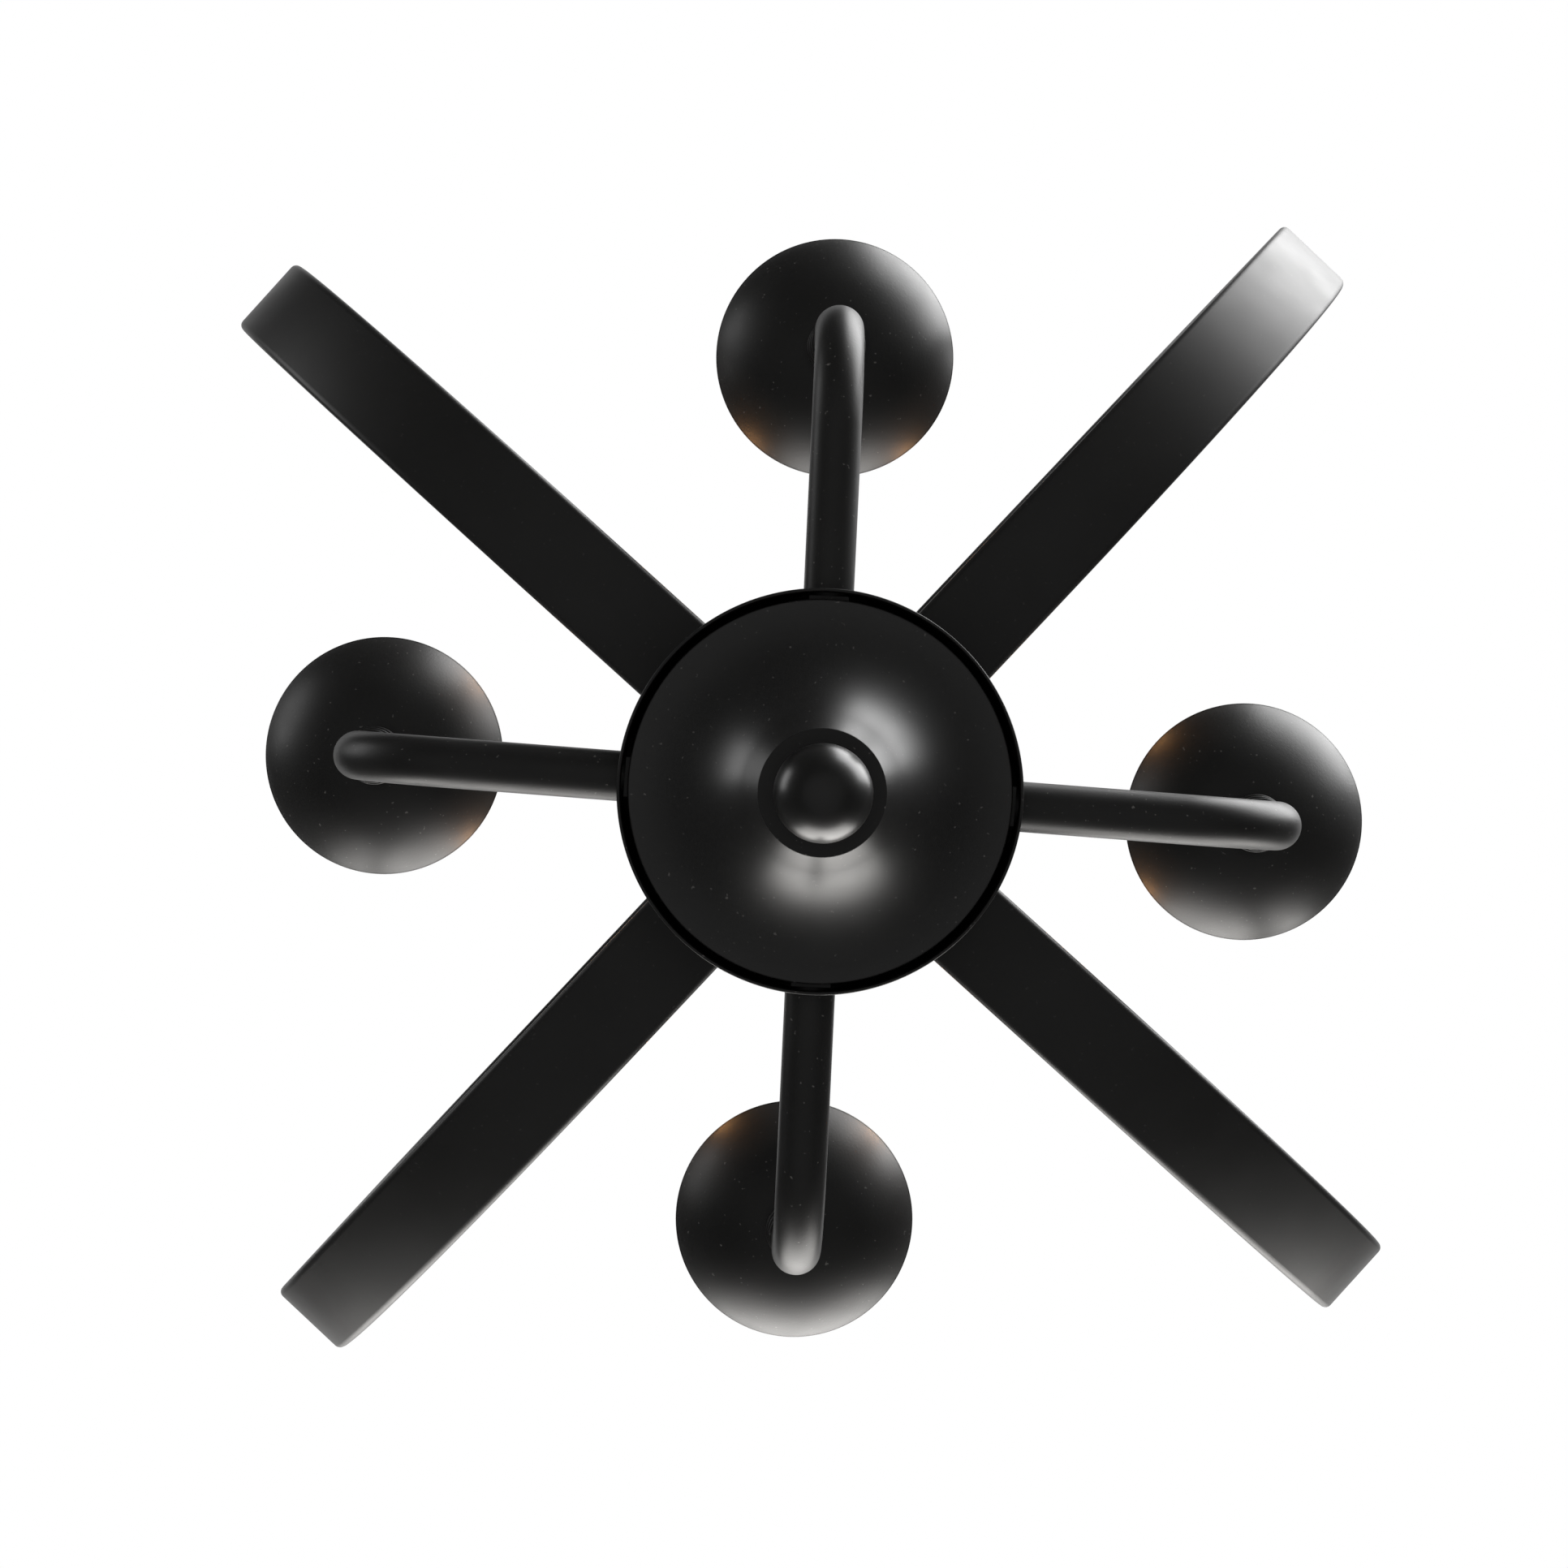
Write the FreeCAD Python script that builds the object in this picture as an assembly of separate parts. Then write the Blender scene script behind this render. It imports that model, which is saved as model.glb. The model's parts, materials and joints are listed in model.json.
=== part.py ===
import FreeCAD, Part
import math
import os

# A pendant light: a cage of four flat bars round a cluster of four candle arms, on a rigid stem.
# Lengths are millimetres and angles degrees. The ceiling is the plane z = 0 and the light hangs
# below it, on the Z axis. Seen from below with +X to the right, +Y is down the view.

# Cage: four flat bars, each one running out level, up and back in. Opposite bars are in line.
bar_width = 25.0
bar_thickness = 4.0
bar_edge_radius = 1.4
bar_inner_end = 24.0
cage_reach = 219.5
cage_height = 500.0
cage_bend_radius = 139.5
bar_pair_angles = (42.15, 133.3)

# Arms: round tube, level and then turned straight up. Opposite arms are in line.
arm_tube_radius = 6.35
arm_tube_wall = 1.2
arm_bend_start = 92.0
arm_bend_radius = 28.0
arm_rise = 56.0
arm_inner_end = 38.0
arm_pair_angles = (4.4, 92.7)
bar_above_arm = 19.0

# Cluster housing, open at the bottom
housing_radius = 50.5
housing_wall = 0.8
housing_edge_radius = 0.4
housing_roof = 1.2
housing_roof_edge = 3.0
housing_below_arm = 12.0
arm_hole_clearance = 0.1

# Bell cover: a trumpet flare that closes the housing
bell_rim_gap = 1.8
bell_edge_radius = 0.4
bell_recess = 1.0
bell_wall = 1.2
bell_nose_margin = 5.3
bell_rim_slope = 9.0
bell_neck_slope = 60.0
bell_neck_width = 4.1

# Finial and the flange ring above it
flange_radius = 15.5
flange_thickness = 2.5
flange_edge_radius = 0.3
finial_ball_radius = 11.8
finial_collar_radius = 8.0
finial_collar_height = 1.8
finial_bore_depth = 14.0

# Centre pipe, column and the plates that clamp the bars
pipe_radius = 5.0
pipe_bore = 3.2
pipe_hole_clearance = 0.1
wire_hole_radius = 2.2
column_radius = 8.0
column_wall = 1.5
plate_radius = 45.0
plate_thickness = 4.0
plate_edge_radius = 1.0
pipe_nut_across_flats = 17.0
pipe_nut_height = 4.0

# Bar screws, the same at the top and the bottom plate
bar_screw_reach = 34.0
bar_screw_radius = 2.5
bar_screw_clearance = 0.1
bar_screw_head_radius = 4.6
bar_screw_head_height = 2.8
bar_screw_crown_share = 0.65

# Collars, cups and what stands in them
collar_radius = 7.9
collar_height = 10.0
collar_socket_depth = 6.0
collar_bead_count = 3
collar_bead_step = 0.45
collar_groove_depth = 0.4
collar_groove_width = 0.5
cup_rim_radius = 33.0
cup_depth = 19.5
cup_seat_radius = 9.0
cup_wall = 1.2
cup_hole_clearance = 0.1
cup_nut_across_flats = 15.0
cup_nut_height = 3.0
nipple_radius = 4.8
nipple_bore = 3.2
nipple_in_collar = 4.0
nipple_in_holder = 5.0
sleeve_plate_radius = 13.0
sleeve_plate_thickness = 1.5
sleeve_radius = 12.0
sleeve_wall = 0.8
sleeve_height = 63.0
holder_clearance = 0.3
holder_height = 61.5
holder_socket_depth = 19.0
holder_floor = 2.0
holder_socket_clearance = 0.05
holder_waist_share = 0.82
holder_head_share = 0.45
holder_foot_share = 0.15

# Bulbs: small screw base and candle-shaped glass
bulb_base_radius = 5.95
bulb_base_length = 20.0
bulb_contact_radius = 3.0
bulb_thread_pitch = 3.2
bulb_thread_depth = 0.45
glass_neck_radius = 6.6
glass_radius = 17.0
glass_length = 78.0
glass_wall = 0.8
glass_widest_share = 0.36
glass_height_shares = (0.0, 0.12, glass_widest_share, 0.62, 0.84, 0.95)
glass_radius_shares = (0.0, 0.38, 1.0, 0.72, 0.27, 0.09)
glass_tip_radius = 2.2
filament_stem_radius = 2.0
filament_stem_height = 20.0
filament_stick_radius = 0.7
filament_stick_length = 30.0
filament_spread = 4.0
filament_disc_thickness = 1.0
filament_disc_margin = 0.6
filament_count = 4

# Lock nuts on the arms' inner ends and the terminal block beside the pipe
arm_nut_across_flats = 17.0
arm_nut_height = 4.0
block_length = 22.0
block_width = 12.0
block_height = 9.0
block_reach = 26.0
block_way_radius = 1.6
block_way_count = 3

# Top hub, stems and coupler
hub_foot_radius = 18.0
hub_foot_height = 5.0
hub_neck_radius = 9.5
hub_height = 34.0
hub_flare_height = 12.0
hub_sag_share = 0.3
stem_radius = 6.35
stem_wall = 1.35
stem_socket_depth = 14.0
hub_pipe_depth = 12.0
long_stem_length = 305.0
short_stem_length = 152.0
coupler_radius = 8.2
coupler_length = 26.0
coupler_web = 2.0
coupler_chamfer = 1.2

# Swivel: a ball in a seat, kept from turning by a cross pin whose ends ride in two slots
ball_radius = 12.0
ball_seat_clearance = 0.3
ball_below_ceiling = 19.7
ball_neck_radius = 4.5
ball_neck_length = 15.5
ball_shank_length = 12.0
shank_clearance = 0.05
pin_radius = 1.25
pin_length = 30.0
pin_bore_clearance = 0.05
pin_slot_clearance = 0.35
swing_limit = 20.0
seat_lip_radius = 9.5
seat_lip_height = 1.0
seat_lip_flare = 1.0
seat_body_radius = 16.7
seat_flange_radius = 22.0
seat_flange_height = 2.5
seat_rise_above_ball = 7.0

# Canopy, crossbar and their fasteners
canopy_radius = 63.5
canopy_depth = 26.0
canopy_wall = 1.2
canopy_edge_radius = 9.0
canopy_hole_clearance = 0.2
crossbar_end_gap = 5.3
crossbar_width = 25.0
crossbar_thickness = 2.5
crossbar_end_radius = 4.0
crossbar_wire_hole_radius = 8.0
box_slot_from_end = 12.55
box_slot_width = 4.8
box_slot_length = 12.0
stud_reach = 30.0
stud_radius = 2.0
stud_clearance = 0.1
stud_below_canopy = 6.0
cap_nut_radius = 4.6
cap_nut_skirt = 4.0
ground_screw_x = -21.0
ground_screw_y = 7.0
ground_screw_radius = 2.0
ground_screw_head_radius = 3.8
ground_screw_head_height = 2.2

# Shared by all cuts: how far a cutting tool runs past the piece
overrun = 1.0

# Shared by all nuts
hexagon_sides = 6

# How far from the Z axis the arms turn up
arm_reach = arm_bend_start + arm_bend_radius

# The crossbar fits inside the canopy, with its slots at the spacing of the ceiling box's screws
crossbar_length = 2 * (canopy_radius - canopy_wall - crossbar_end_gap)
box_screw_spacing = crossbar_length - 2 * box_slot_from_end

# Heights, from the ceiling down
ball_z = -ball_below_ceiling
short_stem_top = ball_z - ball_neck_length
short_stem_bottom = short_stem_top - short_stem_length
long_stem_top = short_stem_bottom - coupler_web
long_stem_bottom = long_stem_top - long_stem_length
hub_top = long_stem_bottom + stem_socket_depth
hub_bottom = hub_top - hub_height
cage_top = hub_bottom - plate_thickness
cage_bottom = cage_top - cage_height
housing_top = cage_bottom - plate_thickness
arm_z = cage_bottom - bar_above_arm
housing_bottom = arm_z - housing_below_arm
bell_rim_z = housing_bottom + bell_recess
collar_bottom = arm_z + arm_rise - collar_socket_depth
cup_bottom = collar_bottom + collar_height
cup_floor = cup_bottom + cup_wall
sleeve_plate_bottom = cup_floor + cup_nut_height
sleeve_bottom = sleeve_plate_bottom + sleeve_plate_thickness
holder_top = sleeve_bottom + holder_height
bulb_base_bottom = holder_top - holder_socket_depth
glass_bottom = bulb_base_bottom + bulb_base_length


def at(radius, z):
    """A point of a profile that is turned about the Z axis."""
    return FreeCAD.Vector(radius, 0, z)


def line(start, end):
    return Part.LineSegment(start, end).toShape()


def arc(start, middle, end):
    return Part.Arc(start, middle, end).toShape()


def turned(edges):
    """The solid that a closed profile sweeps about the Z axis."""
    face = Part.Face(Part.Wire(edges))
    return face.revolve(FreeCAD.Vector(0, 0, 0), FreeCAD.Vector(0, 0, 1), 360)


def turned_corners(corners):
    """The same for a profile with straight sides only."""
    closed = corners + corners[:1]
    return turned([line(a, b) for a, b in zip(closed, closed[1:])])


def cylinder(radius, bottom, top):
    return Part.makeCylinder(radius, top - bottom, FreeCAD.Vector(0, 0, bottom))


def tube(radius, bore, bottom, top):
    drill = cylinder(bore, bottom - overrun, top + overrun)
    return cylinder(radius, bottom, top).cut(drill)


def nut_corner(across_flats):
    """Distance from the middle of a hexagon to its corners."""
    return across_flats / 2 / math.cos(math.pi / hexagon_sides)


def hexagon(across_flats, bore, bottom, top):
    """A plain hexagon nut with its flats square to X."""
    corner = nut_corner(across_flats)
    corners = []
    for step in range(hexagon_sides + 1):
        angle = 2 * math.pi / hexagon_sides * (step + 1 / 2)
        corners.append(FreeCAD.Vector(corner * math.cos(angle), corner * math.sin(angle), bottom))
    blank = Part.Face(Part.makePolygon(corners)).extrude(FreeCAD.Vector(0, 0, top - bottom))
    return blank.cut(cylinder(bore, bottom - overrun, top + overrun))


def block(x_range, y_range, z_range):
    corner = FreeCAD.Vector(x_range[0], y_range[0], z_range[0])
    return Part.makeBox(x_range[1] - x_range[0], y_range[1] - y_range[0], z_range[1] - z_range[0], corner)


def moved(shape, reach, angle):
    """A copy set out along X by reach and then turned about the Z axis."""
    copy = shape.copy()
    copy.translate(FreeCAD.Vector(reach, 0, 0))
    copy.rotate(FreeCAD.Vector(0, 0, 0), FreeCAD.Vector(0, 0, 1), angle)
    return copy


def both_ways(pair_angles):
    """The angle of each piece where every pair stands in one line across the axis."""
    return list(pair_angles) + [angle + 180 for angle in pair_angles]


def arm_angles():
    return both_ways(arm_pair_angles)


def bar_angles():
    return both_ways(bar_pair_angles)


def group(shape, reach, angles):
    return Part.makeCompound([moved(shape, reach, angle) for angle in angles])


def export(shape, name):
    shape.exportStep("parts/" + name + ".step")


def export_round(shape, name, reach, angles):
    """One node for each copy, numbered from the first angle."""
    for number, angle in enumerate(angles, start=1):
        export(moved(shape, reach, angle), name + "_" + str(number))


def bar_path():
    """The bar's centre line in the XZ plane: level, bend, upright, bend, level."""
    half = bar_thickness / 2
    radius = cage_bend_radius - half
    low = cage_bottom + half
    high = cage_top - half
    outside = cage_reach - half
    inside = outside - radius
    diagonal = radius * math.sqrt(0.5)
    low_bend = at(inside + diagonal, low + radius - diagonal)
    high_bend = at(inside + diagonal, high - radius + diagonal)
    return Part.Wire([
        line(at(bar_inner_end, low), at(inside, low)),
        arc(at(inside, low), low_bend, at(outside, low + radius)),
        line(at(outside, low + radius), at(outside, high - radius)),
        arc(at(outside, high - radius), high_bend, at(inside, high)),
        line(at(inside, high), at(bar_inner_end, high)),
    ])


def bar_section():
    """Flat bar with rounded edges, square to the start of the path."""
    half = bar_width / 2
    low = cage_bottom
    high = cage_bottom + bar_thickness
    blank = Part.makePolygon([
        FreeCAD.Vector(bar_inner_end, -half, low),
        FreeCAD.Vector(bar_inner_end, half, low),
        FreeCAD.Vector(bar_inner_end, half, high),
        FreeCAD.Vector(bar_inner_end, -half, high),
        FreeCAD.Vector(bar_inner_end, -half, low),
    ])
    slab = Part.Face(blank).extrude(FreeCAD.Vector(bar_width, 0, 0))
    long_edges = [edge for edge in slab.Edges if abs(edge.tangentAt(edge.FirstParameter).x) > 0.5]
    rounded = slab.makeFillet(bar_edge_radius, long_edges)
    faces = [face for face in rounded.Faces if face.BoundBox.XLength < overrun and
             abs(face.CenterOfMass.x - bar_inner_end) < overrun]
    return faces[0].OuterWire


def bar_screw_drill(clearance, bottom, top):
    drill = cylinder(bar_screw_radius + clearance, bottom - overrun, top + overrun)
    drill.translate(FreeCAD.Vector(bar_screw_reach, 0, 0))
    return drill


def cage_bar():
    """Bent bar with a plain hole at its lower end and a tapped one at its upper end."""
    bar = bar_path().makePipeShell([bar_section()], True, False)
    bar = bar.cut(bar_screw_drill(bar_screw_clearance, cage_bottom, cage_bottom + bar_thickness))
    return bar.cut(bar_screw_drill(0, cage_top - bar_thickness, cage_top))


def clamp_plate(bottom, clearance):
    """Round plate with the pipe's hole and a screw hole for each bar."""
    top = bottom + plate_thickness
    plate = cylinder(plate_radius, bottom, top)
    rims = [edge for edge in plate.Edges if edge.Curve.TypeId == "Part::GeomCircle"]
    plate = plate.makeFillet(plate_edge_radius, rims)
    plate = plate.cut(cylinder(pipe_radius + pipe_hole_clearance, bottom - overrun, top + overrun))
    return plate.cut(group(bar_screw_drill(clearance, bottom, top), 0, bar_angles()))


def bar_screw(head_bottom, length):
    """Button-head screw, head up: a short cylinder under a low crown."""
    head_top = head_bottom + bar_screw_head_height
    crown = bar_screw_head_height * bar_screw_crown_share
    crown_radius = (bar_screw_head_radius ** 2 + crown ** 2) / (2 * crown)
    half_angle = math.asin(bar_screw_head_radius / crown_radius) / 2
    middle = at(crown_radius * math.sin(half_angle), head_top - crown_radius * (1 - math.cos(half_angle)))
    waist = head_top - crown
    head = turned([
        line(at(0, head_bottom), at(bar_screw_head_radius, head_bottom)),
        line(at(bar_screw_head_radius, head_bottom), at(bar_screw_head_radius, waist)),
        arc(at(bar_screw_head_radius, waist), middle, at(0, head_top)),
        line(at(0, head_top), at(0, head_bottom)),
    ])
    return head.fuse(cylinder(bar_screw_radius, head_bottom - length, head_bottom))


def centre_pipe():
    """One hollow threaded pipe from the top hub to the finial, with a wire hole in the housing."""
    bottom = finial_top() - finial_bore_depth + overrun
    pipe = tube(pipe_radius, pipe_bore, bottom, hub_bottom + hub_pipe_depth)
    drill = Part.makeCylinder(wire_hole_radius, pipe_radius + overrun,
                              FreeCAD.Vector(0, 0, arm_z), FreeCAD.Vector(1, 0, 0))
    return pipe.cut(drill)


def housing():
    """Round drum with a rounded roof edge, open below, with a hole for each arm."""
    inside = housing_radius - housing_wall
    shell = cylinder(housing_radius, housing_bottom, housing_top)
    roof_rim = [edge for edge in shell.Edges
                if edge.Curve.TypeId == "Part::GeomCircle"
                and abs(edge.CenterOfMass.z - housing_top) < overrun]
    shell = shell.makeFillet(housing_roof_edge, roof_rim)
    shell = shell.cut(cylinder(inside - housing_roof_edge, housing_bottom - overrun,
                               housing_top - housing_roof))
    shell = shell.cut(cylinder(inside, housing_bottom - overrun, housing_top - housing_roof_edge))
    shell = shell.cut(cylinder(pipe_radius + pipe_hole_clearance, housing_bottom, housing_top + overrun))
    mouth = [edge for edge in shell.Edges
             if edge.Curve.TypeId == "Part::GeomCircle"
             and edge.Curve.Radius > housing_radius - housing_wall / 2
             and abs(edge.CenterOfMass.z - housing_bottom) < housing_wall]
    shell = shell.makeFillet(housing_edge_radius, mouth)
    drill = Part.makeCylinder(arm_tube_radius + arm_hole_clearance, housing_radius,
                              FreeCAD.Vector(0, 0, arm_z), FreeCAD.Vector(1, 0, 0))
    return shell.cut(group(drill, 0, arm_angles()))


def bell_flare():
    """The flare's rim radius, nose radius and arc radius: the nose clears the lock nut on it."""
    rim_radius = housing_radius - housing_wall - bell_rim_gap
    nose_radius = nut_corner(pipe_nut_across_flats) + bell_nose_margin
    rim, neck = math.radians(bell_rim_slope), math.radians(bell_neck_slope)
    arc_width = rim_radius - nose_radius - bell_neck_width
    return rim_radius, nose_radius, arc_width / (math.sin(neck) - math.sin(rim))


def bell_nose_z():
    """Height of the flat nose, the lowest face of the bell."""
    rim, neck = math.radians(bell_rim_slope), math.radians(bell_neck_slope)
    neck_height = bell_neck_width * math.tan(neck)
    return bell_rim_z - bell_flare()[2] * (math.cos(rim) - math.cos(neck)) - neck_height


def bell():
    """Sheet flare: an arc steepens from the rim to a straight neck, closed by a flat nose."""
    rim_radius, nose_radius, flare_radius = bell_flare()
    nose_z = bell_nose_z()
    rim, neck = math.radians(bell_rim_slope), math.radians(bell_neck_slope)
    centre_r = rim_radius + flare_radius * math.sin(rim)
    centre_z = bell_rim_z - flare_radius * math.cos(rim)

    def flare(radius, slope):
        return at(centre_r - radius * math.sin(slope), centre_z + radius * math.cos(slope))

    back_radius = flare_radius + bell_wall
    neck_back = flare(back_radius, neck)
    nose_back_z = nose_z + bell_wall
    nose_back = at(neck_back.x - (neck_back.z - nose_back_z) / math.tan(neck), nose_back_z)
    bore = pipe_radius + pipe_hole_clearance
    sheet = turned([
        arc(flare(flare_radius, rim), flare(flare_radius, (rim + neck) / 2), flare(flare_radius, neck)),
        line(flare(flare_radius, neck), at(nose_radius, nose_z)),
        line(at(nose_radius, nose_z), at(bore, nose_z)),
        line(at(bore, nose_z), at(bore, nose_back_z)),
        line(at(bore, nose_back_z), nose_back),
        line(nose_back, neck_back),
        arc(neck_back, flare(back_radius, (rim + neck) / 2), flare(back_radius, rim)),
        line(flare(back_radius, rim), flare(flare_radius, rim)),
    ])
    edge_z = flare(flare_radius, rim).z
    lip = [edge for edge in sheet.Edges
           if edge.Curve.TypeId == "Part::GeomCircle" and edge.Curve.Radius > rim_radius - bell_wall
           and abs(edge.CenterOfMass.z - edge_z) < bell_edge_radius]
    return sheet.makeFillet(bell_edge_radius, lip)


def finial_top():
    return bell_nose_z() - flange_thickness


def flange():
    ring = tube(flange_radius, pipe_radius + pipe_hole_clearance, finial_top(), bell_nose_z())
    rims = [edge for edge in ring.Edges
            if edge.Curve.TypeId == "Part::GeomCircle" and edge.Curve.Radius > flange_radius - overrun]
    return ring.makeFillet(flange_edge_radius, rims)


def finial():
    """Ball with a short collar, bored for the pipe."""
    top = finial_top()
    collar_bottom_z = top - finial_collar_height
    centre = collar_bottom_z - math.sqrt(finial_ball_radius ** 2 - finial_collar_radius ** 2)
    knob = Part.makeSphere(finial_ball_radius, at(0, centre))
    knob = knob.common(cylinder(finial_ball_radius + overrun, centre - finial_ball_radius - overrun,
                                collar_bottom_z))
    knob = knob.fuse(cylinder(finial_collar_radius, collar_bottom_z, top)).removeSplitter()
    return knob.cut(cylinder(pipe_radius, top - finial_bore_depth, top + overrun))


def pipe_nuts():
    """One nut under the housing roof and one that stops the bell's nose."""
    under_roof = housing_top - housing_roof
    on_nose = bell_nose_z() + bell_wall
    return Part.makeCompound([
        hexagon(pipe_nut_across_flats, pipe_radius, under_roof - pipe_nut_height, under_roof),
        hexagon(pipe_nut_across_flats, pipe_radius, on_nose, on_nose + pipe_nut_height),
    ])


def arm_path():
    """Centre line of one arm in the XZ plane."""
    bend_start = arm_reach - arm_bend_radius
    diagonal = arm_bend_radius * math.sqrt(0.5)
    bend_top = arm_z + arm_bend_radius
    return Part.Wire([
        line(at(arm_inner_end, arm_z), at(bend_start, arm_z)),
        arc(at(bend_start, arm_z), at(bend_start + diagonal, bend_top - diagonal), at(arm_reach, bend_top)),
        line(at(arm_reach, bend_top), at(arm_reach, arm_z + arm_rise)),
    ])


def arm():
    """Bent round tube with its bore."""
    start = at(arm_inner_end, arm_z)
    solids = []
    for radius in (arm_tube_radius, arm_tube_radius - arm_tube_wall):
        circle = Part.Wire([Part.makeCircle(radius, start, FreeCAD.Vector(1, 0, 0))])
        solids.append(arm_path().makePipeShell([circle], True, False))
    return solids[0].cut(solids[1])


def arm_nut():
    """Lock nut against the inside of the housing wall, its hole along X."""
    inside = housing_radius - housing_wall
    seat = math.sqrt(inside ** 2 - nut_corner(arm_nut_across_flats) ** 2)
    nut = hexagon(arm_nut_across_flats, arm_tube_radius, 0, arm_nut_height)
    nut.rotate(FreeCAD.Vector(0, 0, 0), FreeCAD.Vector(0, 1, 0), 90)
    nut.translate(FreeCAD.Vector(seat - arm_nut_height, 0, arm_z))
    return nut


def collar():
    """Turned ferrule whose beads widen towards the cup."""
    bead_height = collar_height / collar_bead_count
    top = cup_bottom
    outline = [at(nipple_radius, top), at(nipple_radius, arm_z + arm_rise),
               at(arm_tube_radius, arm_z + arm_rise), at(arm_tube_radius, collar_bottom)]
    for bead in range(collar_bead_count):
        radius = collar_radius - collar_bead_step * (collar_bead_count - 1 - bead)
        low = collar_bottom + bead_height * bead
        high = low + bead_height
        groove = radius - collar_groove_depth
        outline.append(at(radius, low))
        if bead < collar_bead_count - 1:
            outline += [at(radius, high - collar_groove_width), at(groove, high - collar_groove_width),
                        at(groove, high)]
        else:
            outline.append(at(radius, high))
    return turned_corners(outline)


def cup():
    """Bowl of sheet: a flat seat with the nipple's hole, then a spherical side up to the rim."""
    centre_over_seat = (cup_rim_radius ** 2 + cup_depth ** 2 - cup_seat_radius ** 2) / (2 * cup_depth)
    outside = math.hypot(cup_seat_radius, centre_over_seat)
    inside = outside - cup_wall
    centre_z = cup_bottom + centre_over_seat
    rim_z = cup_bottom + cup_depth
    hole = nipple_radius + cup_hole_clearance

    def skin(radius, angle):
        return at(radius * math.sin(angle), centre_z - radius * math.cos(angle))

    outer_seat, outer_rim = math.asin(cup_seat_radius / outside), math.asin(cup_rim_radius / outside)
    inner_seat = math.acos((centre_z - cup_floor) / inside)
    inner_rim = math.acos((centre_z - rim_z) / inside)
    return turned([
        line(at(hole, cup_bottom), skin(outside, outer_seat)),
        arc(skin(outside, outer_seat), skin(outside, (outer_seat + outer_rim) / 2),
            skin(outside, outer_rim)),
        line(skin(outside, outer_rim), skin(inside, inner_rim)),
        arc(skin(inside, inner_rim), skin(inside, (inner_seat + inner_rim) / 2),
            skin(inside, inner_seat)),
        line(skin(inside, inner_seat), at(hole, cup_floor)),
        line(at(hole, cup_floor), at(hole, cup_bottom)),
    ])


def lamp_nipple():
    return tube(nipple_radius, nipple_bore, cup_bottom - nipple_in_collar, sleeve_bottom + nipple_in_holder)


def cup_nut():
    return hexagon(cup_nut_across_flats, nipple_radius, cup_floor, cup_floor + cup_nut_height)


def sleeve_plate():
    return tube(sleeve_plate_radius, nipple_radius, sleeve_plate_bottom, sleeve_bottom)


def sleeve():
    return tube(sleeve_radius, sleeve_radius - sleeve_wall, sleeve_bottom, sleeve_bottom + sleeve_height)


def lampholder():
    """Moulded holder with a wider head, a tapped foot and the bulb's socket."""
    body = sleeve_radius - sleeve_wall - holder_clearance
    waist = body * holder_waist_share
    head_bottom = holder_top - holder_height * holder_head_share
    foot_top = sleeve_bottom + holder_height * holder_foot_share
    socket = bulb_base_radius + holder_socket_clearance
    wire_way_top = bulb_base_bottom - holder_floor
    return turned_corners([
        at(nipple_radius, sleeve_bottom), at(body, sleeve_bottom), at(body, foot_top),
        at(waist, foot_top), at(waist, head_bottom), at(body, head_bottom), at(body, holder_top),
        at(socket, holder_top), at(socket, bulb_base_bottom), at(0, bulb_base_bottom),
        at(0, wire_way_top), at(nipple_bore, wire_way_top),
        at(nipple_bore, sleeve_bottom + nipple_in_holder),
        at(nipple_radius, sleeve_bottom + nipple_in_holder),
    ])


def bulb_base():
    """Screw base with round turns and a contact button."""
    turns = int((bulb_base_length - bulb_contact_radius) / bulb_thread_pitch)
    low = bulb_base_bottom + bulb_contact_radius
    pitch = (glass_bottom - low) / turns
    edges = [line(at(0, bulb_base_bottom), at(bulb_contact_radius, bulb_base_bottom)),
             line(at(bulb_contact_radius, bulb_base_bottom), at(bulb_base_radius, low))]
    for turn in range(turns):
        start, end = low + pitch * turn, low + pitch * (turn + 1)
        edges.append(arc(at(bulb_base_radius, start),
                         at(bulb_base_radius - bulb_thread_depth, (start + end) / 2),
                         at(bulb_base_radius, end)))
    edges += [line(at(bulb_base_radius, glass_bottom), at(0, glass_bottom)),
              line(at(0, glass_bottom), at(0, bulb_base_bottom))]
    return turned(edges)


def glass_side(inset):
    """One skin of the candle glass, from the neck to the tip."""
    points = []
    for height_share, radius_share in zip(glass_height_shares, glass_radius_shares):
        radius = glass_neck_radius - inset + (glass_radius - glass_neck_radius) * radius_share
        if height_share > glass_widest_share:
            radius = (glass_radius - glass_tip_radius) * radius_share + glass_tip_radius - inset
        points.append(at(radius, glass_bottom + (glass_length - inset) * height_share))
    points.append(at(0, glass_bottom + glass_length - inset))
    curve = Part.BSplineCurve()
    curve.interpolate(points, InitialTangent=FreeCAD.Vector(0, 0, 1), FinalTangent=FreeCAD.Vector(-1, 0, 0))
    return curve.toShape(), points[0], points[-1]


def bulb_glass():
    """Thin candle-shaped envelope, open at the neck where it is cemented to the base."""
    outer, outer_neck, outer_tip = glass_side(0)
    inner, inner_neck, inner_tip = glass_side(glass_wall)
    return turned([outer, line(outer_tip, inner_tip), inner, line(inner_neck, outer_neck)])


def filament():
    """Glass stem and upright sticks between two small discs."""
    stem_top = glass_bottom + filament_stem_height
    disc = filament_spread + filament_stick_radius + filament_disc_margin
    stick_top = stem_top + filament_disc_thickness + filament_stick_length
    whole = cylinder(filament_stem_radius, glass_bottom, stem_top)
    for bottom in (stem_top, stick_top):
        whole = whole.fuse(cylinder(disc, bottom, bottom + filament_disc_thickness))
    for index in range(filament_count):
        stick = cylinder(filament_stick_radius, stem_top + filament_disc_thickness, stick_top)
        whole = whole.fuse(moved(stick, filament_spread, 360 / filament_count * index))
    return whole.removeSplitter()


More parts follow.
